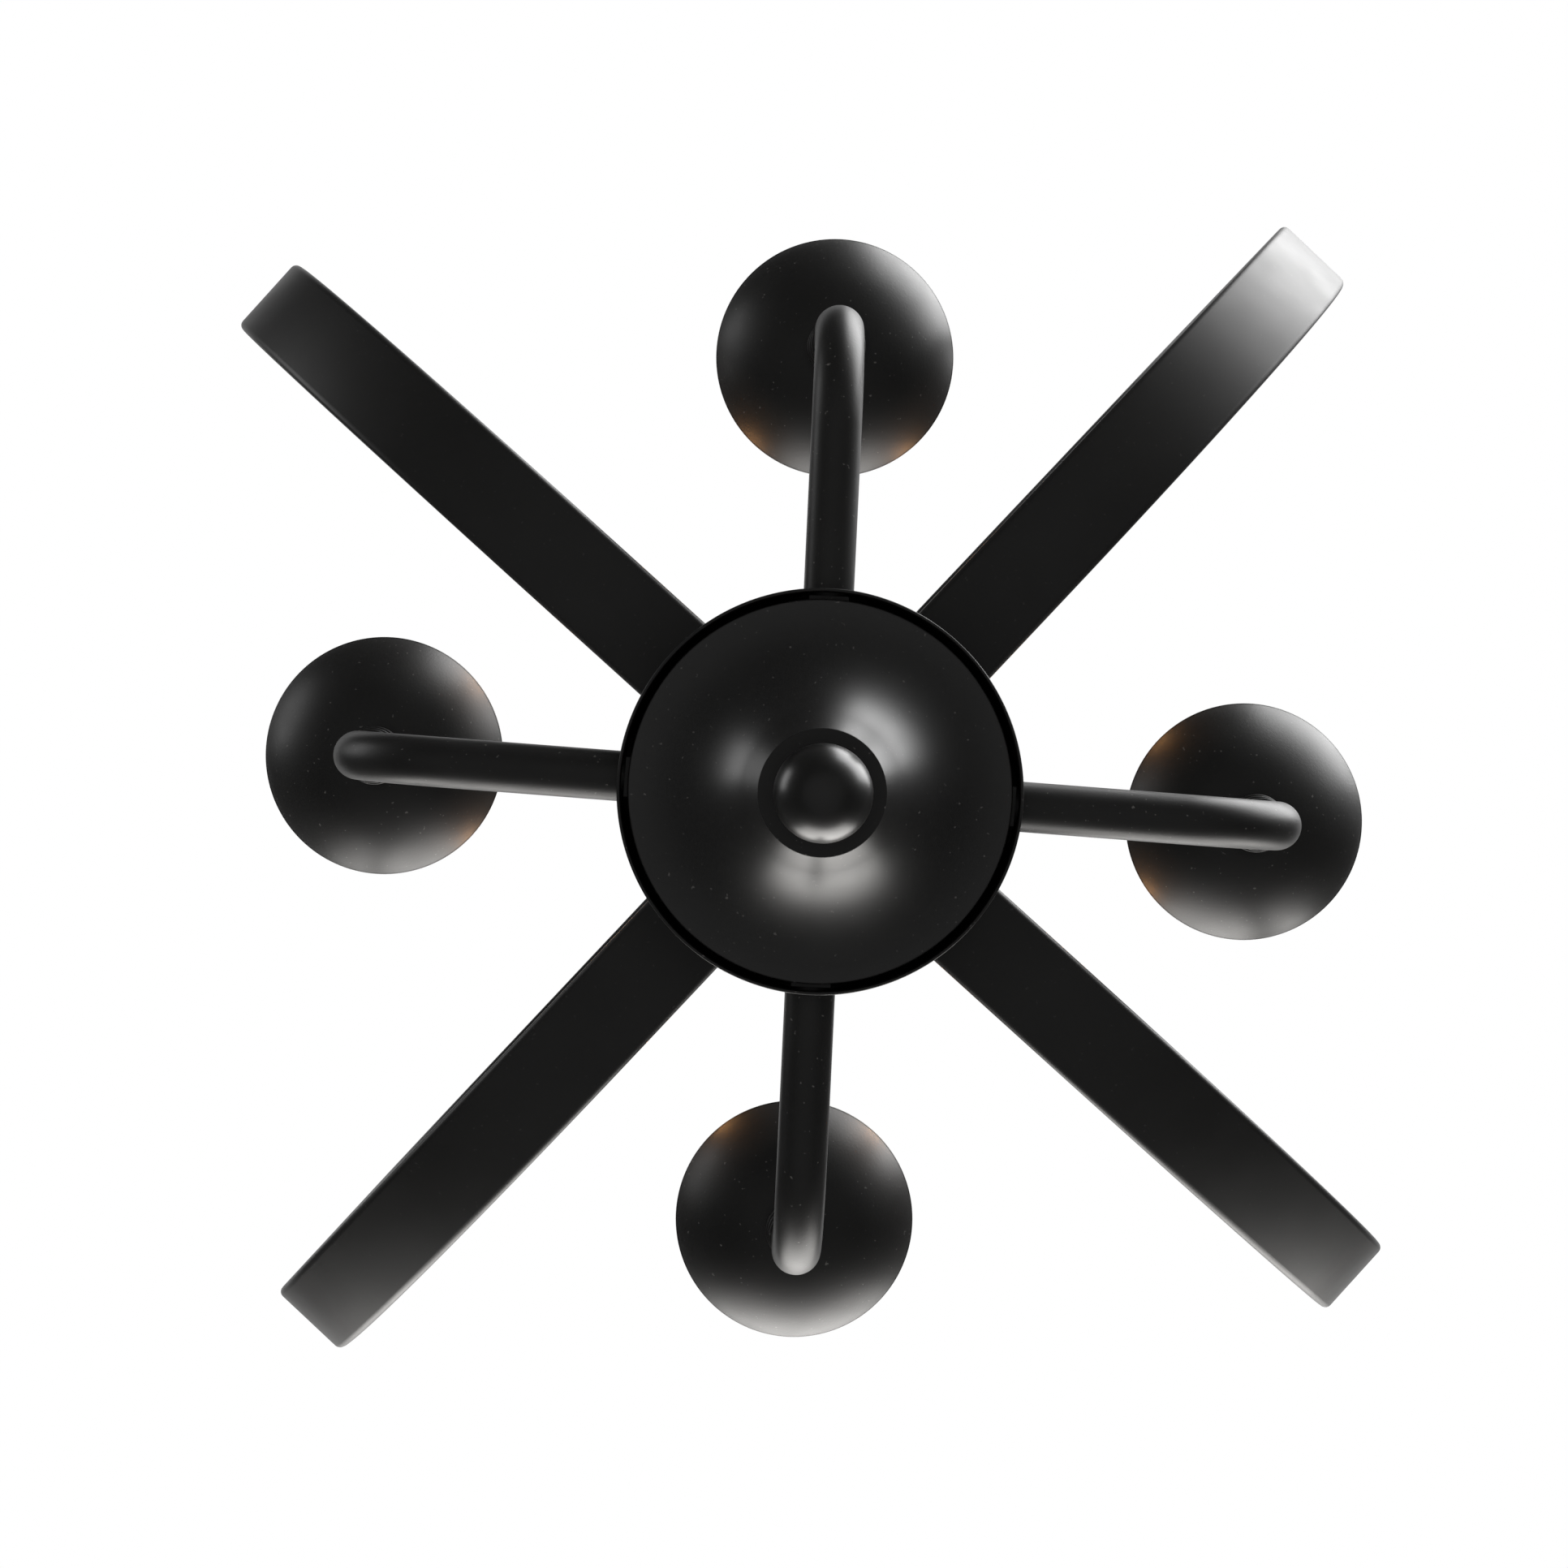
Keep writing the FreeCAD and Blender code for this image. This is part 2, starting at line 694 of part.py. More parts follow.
def terminal_block():
    """Moulded block under the housing roof, with a wire way for each conductor."""
    top = housing_top - housing_roof
    body = block((-block_length / 2, block_length / 2), (-block_width / 2, block_width / 2),
                 (top - block_height, top))
    pitch = block_length / block_way_count
    for index in range(block_way_count):
        x = pitch * (index + 1 / 2) - block_length / 2
        way = Part.makeCylinder(block_way_radius, block_width + 2 * overrun,
                                FreeCAD.Vector(x, -block_width / 2 - overrun, top - block_height / 2),
                                FreeCAD.Vector(0, 1, 0))
        body = body.cut(way)
    body.rotate(FreeCAD.Vector(0, 0, 0), FreeCAD.Vector(0, 0, 1), 90)
    between_arms = sum(arm_pair_angles) / len(arm_pair_angles)
    return moved(body, block_reach, between_arms)


def top_hub():
    """Turned foot on the top plate, hollowed up to a neck that takes the long stem."""
    foot_top = hub_bottom + hub_foot_height
    neck_bottom = foot_top + hub_flare_height
    middle_r = hub_neck_radius + (hub_foot_radius - hub_neck_radius) * hub_sag_share
    middle_z = foot_top + hub_flare_height * hub_sag_share
    pipe_top = hub_bottom + hub_pipe_depth
    socket_bottom = hub_top - stem_socket_depth
    return turned([
        line(at(pipe_radius, hub_bottom), at(hub_foot_radius, hub_bottom)),
        line(at(hub_foot_radius, hub_bottom), at(hub_foot_radius, foot_top)),
        arc(at(hub_foot_radius, foot_top), at(middle_r, middle_z), at(hub_neck_radius, neck_bottom)),
        line(at(hub_neck_radius, neck_bottom), at(hub_neck_radius, hub_top)),
        line(at(hub_neck_radius, hub_top), at(stem_radius, hub_top)),
        line(at(stem_radius, hub_top), at(stem_radius, socket_bottom)),
        line(at(stem_radius, socket_bottom), at(pipe_bore, socket_bottom)),
        line(at(pipe_bore, socket_bottom), at(pipe_bore, pipe_top)),
        line(at(pipe_bore, pipe_top), at(pipe_radius, pipe_top)),
        line(at(pipe_radius, pipe_top), at(pipe_radius, hub_bottom)),
    ])


def coupler():
    """Sleeve over both stem ends, with a web between them."""
    middle = (short_stem_bottom + long_stem_top) / 2
    top, bottom = middle + coupler_length / 2, middle - coupler_length / 2
    shoulder = coupler_radius - coupler_chamfer
    return turned_corners([
        at(stem_radius, top), at(shoulder, top), at(coupler_radius, top - coupler_chamfer),
        at(coupler_radius, bottom + coupler_chamfer), at(shoulder, bottom), at(stem_radius, bottom),
        at(stem_radius, long_stem_top), at(pipe_bore, long_stem_top), at(pipe_bore, short_stem_bottom),
        at(stem_radius, short_stem_bottom),
    ])


def swivel_ball():
    """Ball, neck and threaded shank in one, bored for the wires and across for the pin."""
    centre = FreeCAD.Vector(0, 0, ball_z)
    whole = Part.makeSphere(ball_radius, centre)
    whole = whole.fuse(cylinder(ball_neck_radius, short_stem_top, ball_z))
    shank_radius = stem_radius - stem_wall - shank_clearance
    whole = whole.fuse(cylinder(shank_radius, short_stem_top - ball_shank_length, short_stem_top))
    whole = whole.cut(cylinder(pipe_bore, short_stem_top - ball_shank_length - overrun,
                               ball_z + ball_radius + overrun))
    cross = Part.makeCylinder(pin_radius + pin_bore_clearance, 2 * ball_radius + 2 * overrun,
                              FreeCAD.Vector(-ball_radius - overrun, 0, ball_z), FreeCAD.Vector(1, 0, 0))
    return whole.cut(cross)


def swivel_pin():
    return Part.makeCylinder(pin_radius, pin_length, FreeCAD.Vector(-pin_length / 2, 0, ball_z),
                             FreeCAD.Vector(1, 0, 0))


def seat_bottom():
    """Lowest face of the swivel seat: the lip holds the ball below its middle."""
    bowl = ball_radius + ball_seat_clearance
    return ball_z - math.sqrt(bowl ** 2 - seat_lip_radius ** 2) - seat_lip_height


def swivel_seat():
    """Turned seat: boss through the canopy, flange on its floor, bowl for the ball, two pin slots."""
    bowl = ball_radius + ball_seat_clearance
    bottom = seat_bottom()
    lip_z = bottom + seat_lip_height
    floor = canopy_wall - canopy_depth
    top = ball_z + seat_rise_above_ball
    lip_angle = math.asin(seat_lip_radius / bowl)
    middle_angle = (lip_angle + math.pi / 2) / 2
    bowl_middle = at(bowl * math.sin(middle_angle), ball_z - bowl * math.cos(middle_angle))
    seat = turned([
        line(at(seat_lip_radius + seat_lip_flare, bottom), at(seat_body_radius, bottom)),
        line(at(seat_body_radius, bottom), at(seat_body_radius, floor)),
        line(at(seat_body_radius, floor), at(seat_flange_radius, floor)),
        line(at(seat_flange_radius, floor), at(seat_flange_radius, floor + seat_flange_height)),
        line(at(seat_flange_radius, floor + seat_flange_height),
             at(seat_body_radius, floor + seat_flange_height)),
        line(at(seat_body_radius, floor + seat_flange_height), at(seat_body_radius, top)),
        line(at(seat_body_radius, top), at(bowl, top)),
        line(at(bowl, top), at(bowl, ball_z)),
        arc(at(bowl, ball_z), bowl_middle, at(seat_lip_radius, lip_z)),
        line(at(seat_lip_radius, lip_z), at(seat_lip_radius + seat_lip_flare, bottom)),
    ])
    half_slot = pin_radius + pin_slot_clearance
    reach = pin_length / 2 + pin_slot_clearance
    swing = math.radians(swing_limit)
    drop = pin_length / 2 * math.sin(swing) + half_slot
    return seat.cut(block((-reach, reach), (-half_slot, half_slot), (ball_z - drop, top + overrun)))


def canopy():
    """Shallow pan with a rounded edge, open towards the ceiling."""
    floor = -canopy_depth
    inner_edge = canopy_edge_radius - canopy_wall
    corner_r = canopy_radius - canopy_edge_radius
    corner_z = floor + canopy_edge_radius
    diagonal = math.sqrt(0.5)
    hole = seat_body_radius + canopy_hole_clearance
    pan = turned([
        line(at(canopy_radius, 0), at(canopy_radius, corner_z)),
        arc(at(canopy_radius, corner_z),
            at(corner_r + canopy_edge_radius * diagonal, corner_z - canopy_edge_radius * diagonal),
            at(corner_r, floor)),
        line(at(corner_r, floor), at(hole, floor)),
        line(at(hole, floor), at(hole, floor + canopy_wall)),
        line(at(hole, floor + canopy_wall), at(corner_r, floor + canopy_wall)),
        arc(at(corner_r, floor + canopy_wall),
            at(corner_r + inner_edge * diagonal, corner_z - inner_edge * diagonal),
            at(canopy_radius - canopy_wall, corner_z)),
        line(at(canopy_radius - canopy_wall, corner_z), at(canopy_radius - canopy_wall, 0)),
        line(at(canopy_radius - canopy_wall, 0), at(canopy_radius, 0)),
    ])
    drill = cylinder(stud_radius + stud_clearance, floor - overrun, floor + canopy_wall + overrun)
    return pan.cut(group(drill, stud_reach, (0, 180)))


def crossbar():
    """Flat bracket against the ceiling box: two slots, two tapped holes and the wire hole."""
    half_length, half_width = crossbar_length / 2, crossbar_width / 2
    bar = block((-half_length, half_length), (-half_width, half_width), (-crossbar_thickness, 0))
    upright = [edge for edge in bar.Edges if abs(edge.tangentAt(edge.FirstParameter).z) > 0.5]
    bar = bar.makeFillet(crossbar_end_radius, upright)
    low, high = -crossbar_thickness - overrun, overrun
    bar = bar.cut(cylinder(crossbar_wire_hole_radius, low, high))
    bar = bar.cut(group(cylinder(stud_radius, low, high), stud_reach, (0, 180)))
    half_slot = box_slot_width / 2
    straight = box_slot_length / 2 - half_slot
    slot = block((-straight, straight), (-half_slot, half_slot), (low, high))
    for side in (-1, 1):
        slot = slot.fuse(moved(cylinder(half_slot, low, high), straight * side, 0))
    bar = bar.cut(group(slot, box_screw_spacing / 2, (0, 180)))
    ground = cylinder(ground_screw_radius, low, high)
    ground.translate(FreeCAD.Vector(ground_screw_x, ground_screw_y, 0))
    return bar.cut(ground)


def canopy_stud():
    return cylinder(stud_radius, -canopy_depth - stud_below_canopy, 0)


def cap_nut():
    """Domed cap nut below the canopy, bored for its stud."""
    top = -canopy_depth
    skirt_bottom = top - cap_nut_skirt
    diagonal = math.sqrt(0.5)
    nut = turned([
        line(at(0, top), at(cap_nut_radius, top)),
        line(at(cap_nut_radius, top), at(cap_nut_radius, skirt_bottom)),
        arc(at(cap_nut_radius, skirt_bottom),
            at(cap_nut_radius * diagonal, skirt_bottom - cap_nut_radius * diagonal),
            at(0, skirt_bottom - cap_nut_radius)),
        line(at(0, skirt_bottom - cap_nut_radius), at(0, top)),
    ])
    return nut.cut(cylinder(stud_radius, top - stud_below_canopy, top + overrun))


def ground_screw():
    """Pan-head screw, its head under the crossbar."""
    under = -crossbar_thickness
    screw = cylinder(ground_screw_head_radius, under - ground_screw_head_height, under)
    screw = screw.fuse(cylinder(ground_screw_radius, under, 0))
    screw.translate(FreeCAD.Vector(ground_screw_x, ground_screw_y, 0))
    return screw


def make_ceiling_group():
    export(crossbar(), "crossbar")
    export(ground_screw(), "ground_screw")
    export(canopy(), "canopy")
    export(group(canopy_stud(), stud_reach, (0, 180)), "canopy_studs")
    export(group(cap_nut(), stud_reach, (0, 180)), "canopy_cap_nuts")
    export(swivel_seat(), "swivel_seat")


def make_suspension():
    export(swivel_pin(), "swivel_pin")
    export(swivel_ball(), "swivel_ball")
    bore = stem_radius - stem_wall
    export(tube(stem_radius, bore, short_stem_bottom, short_stem_top), "short_stem")
    export(coupler(), "stem_coupler")
    export(tube(stem_radius, bore, long_stem_bottom, long_stem_top), "long_stem")
    export(top_hub(), "top_hub")


def make_cage():
    export_round(cage_bar(), "cage_bar", 0, bar_angles())
    export(clamp_plate(cage_top, bar_screw_clearance), "top_plate")
    export(clamp_plate(housing_top, 0), "bottom_plate")
    length = plate_thickness + bar_thickness
    export(group(bar_screw(hub_bottom, length), bar_screw_reach, bar_angles()), "top_bar_screws")
    export(group(bar_screw(cage_bottom + bar_thickness, length), bar_screw_reach, bar_angles()),
           "bottom_bar_screws")
    export(tube(column_radius, column_radius - column_wall, cage_bottom, cage_top), "centre_column")
    export(centre_pipe(), "centre_pipe")


def make_cluster():
    export(housing(), "cluster_housing")
    export(pipe_nuts(), "pipe_lock_nuts")
    export(group(arm_nut(), 0, arm_angles()), "arm_lock_nuts")
    export(terminal_block(), "terminal_block")
    export(bell(), "bell_cover")
    export(flange(), "finial_flange")
    export(finial(), "ball_finial")


def make_arms():
    angles = arm_angles()
    export_round(arm(), "arm", 0, angles)
    export(group(collar(), arm_reach, angles), "arm_collars")
    export(group(lamp_nipple(), arm_reach, angles), "lamp_nipples")
    export(group(cup_nut(), arm_reach, angles), "cup_nuts")
    export(group(sleeve_plate(), arm_reach, angles), "sleeve_plates")
    export_round(cup(), "cup", arm_reach, angles)
    export_round(lampholder(), "lampholder", arm_reach, angles)
    export_round(sleeve(), "candle_sleeve", arm_reach, angles)
    export_round(bulb_base(), "bulb_base", arm_reach, angles)
    export_round(bulb_glass(), "bulb_glass", arm_reach, angles)
    export(group(filament(), arm_reach, angles), "bulb_filaments")


os.makedirs("parts", exist_ok=True)
make_ceiling_group()
make_suspension()
make_cage()
make_cluster()
make_arms()
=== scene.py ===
import json
import math

import bmesh
import bpy
from mathutils import Matrix, Vector


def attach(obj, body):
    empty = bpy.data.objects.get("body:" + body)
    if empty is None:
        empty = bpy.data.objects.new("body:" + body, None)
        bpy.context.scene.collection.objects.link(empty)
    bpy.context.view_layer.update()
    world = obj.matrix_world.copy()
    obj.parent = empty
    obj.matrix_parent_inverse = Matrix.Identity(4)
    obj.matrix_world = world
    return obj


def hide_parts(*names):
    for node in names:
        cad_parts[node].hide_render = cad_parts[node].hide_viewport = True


# A black cage pendant light, seen from straight below. Sizes are millimetres, times MM.
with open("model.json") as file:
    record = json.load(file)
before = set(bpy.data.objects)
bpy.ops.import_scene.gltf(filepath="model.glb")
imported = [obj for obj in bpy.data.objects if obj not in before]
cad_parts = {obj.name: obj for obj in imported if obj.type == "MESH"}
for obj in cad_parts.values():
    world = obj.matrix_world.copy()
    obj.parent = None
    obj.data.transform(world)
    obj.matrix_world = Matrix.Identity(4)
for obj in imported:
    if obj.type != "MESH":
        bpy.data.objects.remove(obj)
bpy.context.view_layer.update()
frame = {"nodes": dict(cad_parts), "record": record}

MM = 0.001

# Heights of the main levels, all below the ceiling
BALL_HEIGHT = -19.7
CANOPY_FLOOR = -24.8
CANOPY_BOTTOM = -26.0
SHORT_STEM_TOP = -35.2
SHORT_STEM_BOTTOM = -187.2
LONG_STEM_TOP = -189.2
LONG_STEM_BOTTOM = -494.2
HUB_TOP = -480.2
HUB_BOTTOM = -514.2
CAGE_TOP = -518.2
CAGE_BOTTOM = -1018.2
HOUSING_TOP = -1022.2
ARM_HEIGHT = -1037.2
HOUSING_BOTTOM = -1049.2
BELL_RIM = -1048.2
BELL_NOSE = -1075.02
FINIAL_TOP = BELL_NOSE - 2.5
COLLAR_BOTTOM = -987.2
CUP_BOTTOM = -977.2
SLEEVE_BOTTOM = -971.5
GLASS_BOTTOM = -909.0

# Places round the axis
ARM_TURNS = [4.4, 92.7, 184.4, 272.7]
BAR_TURNS = [42.15, 133.3, 222.15, 313.3]
STUD_TURNS = [0, 180]
ARM_REACH = 120.0
BAR_SCREW_REACH = 34.0
STUD_REACH = 30.0

# Sizes that several pieces share
TUBE_RADIUS = 6.35
STEM_BORE = 5.0
PIPE_RADIUS = 5.0
PIPE_HOLE = 5.1
WIRE_BORE = 3.2
SHEET_WALL = 1.2
EDGE_BREAK = 0.3

# How meshes are made: steps on each rounded corner, the sharp angle, and lengths that count as nothing
CORNER_STEPS = 5
SHARP_ANGLE = 40
MERGE_LENGTH = 0.002
SPECK_LENGTH = 0.001

HANGING = "hanging_light"
MOUNTED = "ceiling_mount"


# Drawing and finishing of pieces

def spot(radius, height):
    """A point of the XZ plane, from millimetres."""
    return Vector((radius * MM, 0, height * MM))


class Outline:
    """A pen that draws a profile in the XZ plane: radius to the right, height up."""

    def __init__(self, radius, height):
        self.mesh = bmesh.new()
        self.start = self.mesh.verts.new(spot(radius, height))
        self.tip = self.start
        self.rounded = []

    def line(self, radius, height, rounding=0):
        """Straight to a point, whose corner may be rounded later."""
        end = self.mesh.verts.new(spot(radius, height))
        self.mesh.edges.new((self.tip, end))
        self.tip = end
        return self.round_tip(rounding)

    def arc(self, radius, height, about, steps, rounding=0):
        """Round a centre to a point, the short way."""
        centre, end = spot(*about), spot(radius, height)
        turn = (self.tip.co - centre).xz.angle_signed((end - centre).xz)
        made = bmesh.ops.spin(self.mesh, geom=[self.tip], cent=centre, axis=(0, 1, 0), dvec=(0, 0, 0),
                              angle=turn, steps=steps, use_duplicate=False)
        self.tip = [item for item in made["geom_last"] if isinstance(item, bmesh.types.BMVert)][0]
        return self.round_tip(rounding)

    def round_tip(self, rounding):
        """Keep the point just drawn for rounding, unless it stays sharp."""
        if rounding:
            self.rounded.append((self.tip, rounding))
        return self

    def close(self):
        self.mesh.edges.new((self.tip, self.start))
        return self

    def turned(self, name, steps, sharp=SHARP_ANGLE):
        """Turn the profile all the way round the Z axis."""
        for corner, rounding in self.rounded:
            bmesh.ops.bevel(self.mesh, geom=[corner], offset=rounding * MM, offset_type="OFFSET",
                            segments=CORNER_STEPS, profile=0.5, affect="VERTICES", clamp_overlap=True,
                            material=-1)
        profile = self.mesh.verts[:] + self.mesh.edges[:]
        bmesh.ops.spin(self.mesh, geom=profile, cent=(0, 0, 0), axis=(0, 0, 1), dvec=(0, 0, 0),
                       angle=math.tau, steps=steps, use_merge=True)
        return finished(self.mesh, name, sharp)


def finished(mesh, name, sharp=SHARP_ANGLE):
    """Clean a mesh, turn its faces outwards, smooth it and put it in the scene."""
    bmesh.ops.remove_doubles(mesh, verts=mesh.verts, dist=MERGE_LENGTH * MM)
    bmesh.ops.dissolve_degenerate(mesh, edges=mesh.edges, dist=SPECK_LENGTH * MM)
    bmesh.ops.recalc_face_normals(mesh, faces=mesh.faces)
    data = bpy.data.meshes.new(name)
    mesh.to_mesh(data)
    mesh.free()
    data.shade_smooth()
    data.set_sharp_from_angle(angle=math.radians(sharp))
    piece = bpy.data.objects.new(name, data)
    bpy.context.scene.collection.objects.link(piece)
    return piece


def placed(piece, reach, turns):
    """Repeat a piece's mesh out along X by reach and round the axis at each turn."""
    mesh = bmesh.new()
    for turn in turns:
        part = bmesh.new()
        part.from_mesh(piece.data)
        place = Matrix.Rotation(math.radians(turn), 4, "Z") @ Matrix.Translation(spot(reach, 0))
        bmesh.ops.transform(part, matrix=place, verts=part.verts)
        copy = bpy.data.meshes.new("copy")
        part.to_mesh(copy)
        part.free()
        mesh.from_mesh(copy)
        bpy.data.meshes.remove(copy)
    mesh.to_mesh(piece.data)
    mesh.free()
    return piece


def copies(piece, reach, turns):
    """One numbered piece for each turn, from a piece that stands on the axis."""
    made = []
    for number, turn in enumerate(turns, start=1):
        copy = bpy.data.objects.new(piece.name + "_" + str(number), piece.data.copy())
        bpy.context.scene.collection.objects.link(copy)
        made.append(placed(copy, reach, [turn]))
    bpy.data.objects.remove(piece)
    return made


def applied(piece):
    """The piece's mesh with its modifiers carried out."""
    return bpy.data.meshes.new_from_object(piece.evaluated_get(bpy.context.evaluated_depsgraph_get()))


def cut(piece, tool):
    """Take one piece's shape out of another."""
    cutter = piece.modifiers.new("cut", "BOOLEAN")
    cutter.operation = "DIFFERENCE"
    cutter.solver = "EXACT"
    cutter.object = tool
    shape = applied(piece)
    piece.modifiers.clear()
    piece.data = shape
    shape.set_sharp_from_angle(angle=math.radians(SHARP_ANGLE))
    bpy.data.objects.remove(tool)
    return piece


def rod(name, radius, length, axis, height, sides):
    """Plain bar with its middle on the Z axis, used as a drill and as a hexagon key."""
    mesh = bmesh.new()
    bmesh.ops.create_cone(mesh, cap_ends=True, segments=sides, radius1=radius * MM, radius2=radius * MM,
                          depth=length * MM)
    turn = Vector((0, 0, 1)).rotation_difference(Vector(axis)).to_matrix().to_4x4()
    bmesh.ops.transform(mesh, matrix=Matrix.Translation(spot(0, height)) @ turn, verts=mesh.verts)
    return finished(mesh, name)


def dress(piece, body, node, material):
    """Let a new piece ride on a body in place of a node, with a material."""
    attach(piece, body)
    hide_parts(node)
    piece.data.materials.clear()
    piece.data.materials.append(material)


# Materials. Patterns read the piece's own coordinates in metres: a larger scale is a finer pattern.

DUST_COLOUR = (0.12, 0.115, 0.11)
FILAMENT_STRENGTH = 18.0


def new_material(name):
    material = bpy.data.materials.new(name)
    material.use_nodes = True
    nodes = material.node_tree.nodes
    return material, nodes, material.node_tree.links, nodes["Principled BSDF"]


def noise(nodes, links, scale, detail):
    """Noise on the piece's own coordinates."""
    place = nodes.new("ShaderNodeTexCoord")
    texture = nodes.new("ShaderNodeTexNoise")
    texture.inputs["Scale"].default_value = scale
    texture.inputs["Detail"].default_value = detail
    links.new(place.outputs["Object"], texture.inputs["Vector"])
    return texture.outputs["Fac"]


def pattern(nodes, links, scale, detail, low=0.0, high=1.0, noise_low=0.3, noise_high=0.7):
    """A band of a noise, spread from low to high."""
    spread = nodes.new("ShaderNodeMapRange")
    spread.inputs["From Min"].default_value = noise_low
    spread.inputs["From Max"].default_value = noise_high
    spread.inputs["To Min"].default_value = low
    spread.inputs["To Max"].default_value = high
    links.new(noise(nodes, links, scale, detail), spread.inputs["Value"])
    return spread.outputs["Result"]


def mixed(nodes, links, share, dark, light):
    """A colour between two, by a share."""
    mix = nodes.new("ShaderNodeMix")
    mix.data_type = "RGBA"
    mix.inputs["A"].default_value = (*dark, 1)
    mix.inputs["B"].default_value = (*light, 1)
    links.new(share, mix.inputs["Factor"])
    return mix.outputs["Result"]


def dusted(nodes, links, colour, amount):
    """Scatter fine pale dust specks over a colour."""
    blend = nodes.new("ShaderNodeMix")
    blend.data_type = "RGBA"
    blend.inputs["B"].default_value = (*DUST_COLOUR, 1)
    specks = pattern(nodes, links, scale=900.0, detail=1.0, high=amount, noise_low=0.73, noise_high=0.78)
    links.new(specks, blend.inputs["Factor"])
    links.new(colour, blend.inputs["A"])
    return blend.outputs["Result"]


def grain(nodes, links, shader, scale, detail, depth):
    """Raise the surface by a noise, depth in millimetres."""
    bump = nodes.new("ShaderNodeBump")
    bump.inputs["Strength"].default_value = 1.0
    bump.inputs["Distance"].default_value = depth * MM
    links.new(noise(nodes, links, scale, detail), bump.inputs["Height"])
    links.new(bump.outputs["Normal"], shader.inputs["Normal"])


def powder_coat(name, dark, light, gloss, depth, shine, specks=0.0):
    """Black powder coat: fine pebble, uneven sheen and a few dust specks."""
    material, nodes, links, shader = new_material(name)
    colour = mixed(nodes, links, pattern(nodes, links, scale=35.0, detail=4.0), dark, light)
    if specks:
        colour = dusted(nodes, links, colour, specks)
    links.new(colour, shader.inputs["Base Color"])
    sheen = pattern(nodes, links, scale=60.0, detail=5.0, low=gloss[0], high=gloss[1])
    links.new(sheen, shader.inputs["Roughness"])
    grain(nodes, links, shader, scale=1400.0, detail=2.0, depth=depth)
    shader.inputs["IOR"].default_value = shine
    return material


def satin_black():
    """The coat on tubes, plates and cups."""
    return powder_coat("satin_black_coat", dark=(0.0044, 0.0042, 0.0041), light=(0.0062, 0.0060, 0.0058),
                       gloss=(0.40, 0.47), depth=0.018, shine=1.40, specks=0.4)


def bar_black():
    """The bars' coat, which lies smooth on flat stock."""
    return powder_coat("bar_black_coat", dark=(0.0046, 0.0044, 0.0042), light=(0.0062, 0.0060, 0.0058),
                       gloss=(0.42, 0.48), depth=0.004, shine=1.40, specks=0.1)


def spun_black():
    """The bell's coat, laid smooth over spun sheet."""
    return powder_coat("spun_black_coat", dark=(0.0022, 0.0021, 0.0020), light=(0.0034, 0.0033, 0.0032),
                       gloss=(0.37, 0.42), depth=0.008, shine=1.63, specks=0.3)


def smooth_black():
    """The finial's coat, a little glossier than the rest."""
    return powder_coat("smooth_black_coat", dark=(0.0024, 0.0023, 0.0022), light=(0.0036, 0.0035, 0.0034),
                       gloss=(0.30, 0.35), depth=0.006, shine=1.52)


def plated(name, dark, light, cloud_scale, cloud_detail, gloss, gloss_scale, gloss_detail):
    """Plated metal with a cloudy tone and an uneven sheen."""
    material, nodes, links, shader = new_material(name)
    cloud = pattern(nodes, links, cloud_scale, cloud_detail)
    links.new(mixed(nodes, links, cloud, dark, light), shader.inputs["Base Color"])
    sheen = pattern(nodes, links, gloss_scale, gloss_detail, low=gloss[0], high=gloss[1])
    links.new(sheen, shader.inputs["Roughness"])
    shader.inputs["Metallic"].default_value = 1.0
    return material


def zinc():
    """Zinc-plated steel: bright, cloudy and faintly rough."""
    material = plated("zinc_plate", dark=(0.50, 0.50, 0.48), light=(0.66, 0.66, 0.64), cloud_scale=120.0,
                      cloud_detail=6.0, gloss=(0.28, 0.42), gloss_scale=300.0, gloss_detail=4.0)
    tree = material.node_tree
    grain(tree.nodes, tree.links, tree.nodes["Principled BSDF"], scale=2500.0, detail=2.0, depth=0.004)
    return material


def nickel():
    """Nickel-plated screw base, faintly stained."""
    return plated("nickel_plate", dark=(0.60, 0.56, 0.50), light=(0.74, 0.71, 0.66), cloud_scale=200.0,
                  cloud_detail=5.0, gloss=(0.18, 0.30), gloss_scale=400.0, gloss_detail=3.0)


def moulded(name, dark, light, gloss):
    """Moulded plastic with a faint cloud and a fine skin."""
    material, nodes, links, shader = new_material(name)
    cloud = pattern(nodes, links, scale=90.0, detail=3.0)
    links.new(mixed(nodes, links, cloud, dark, light), shader.inputs["Base Color"])
    sheen = pattern(nodes, links, scale=200.0, detail=3.0, low=gloss[0], high=gloss[1])
    links.new(sheen, shader.inputs["Roughness"])
    grain(nodes, links, shader, scale=3000.0, detail=1.0, depth=0.004)
    return material


def black_phenolic():
    """The lampholders' plastic."""
    return moulded("black_phenolic", dark=(0.012, 0.011, 0.010), light=(0.022, 0.020, 0.018),
                   gloss=(0.30, 0.45))


def ivory_nylon():
    """The terminal block's plastic, which also stands in for the pale stems inside the bulbs."""
    return moulded("ivory_nylon", dark=(0.62, 0.59, 0.50), light=(0.70, 0.67, 0.58), gloss=(0.40, 0.55))


def green_screw_paint():
    return moulded("green_screw_paint", dark=(0.02, 0.14, 0.04), light=(0.03, 0.20, 0.06),
                   gloss=(0.30, 0.45))


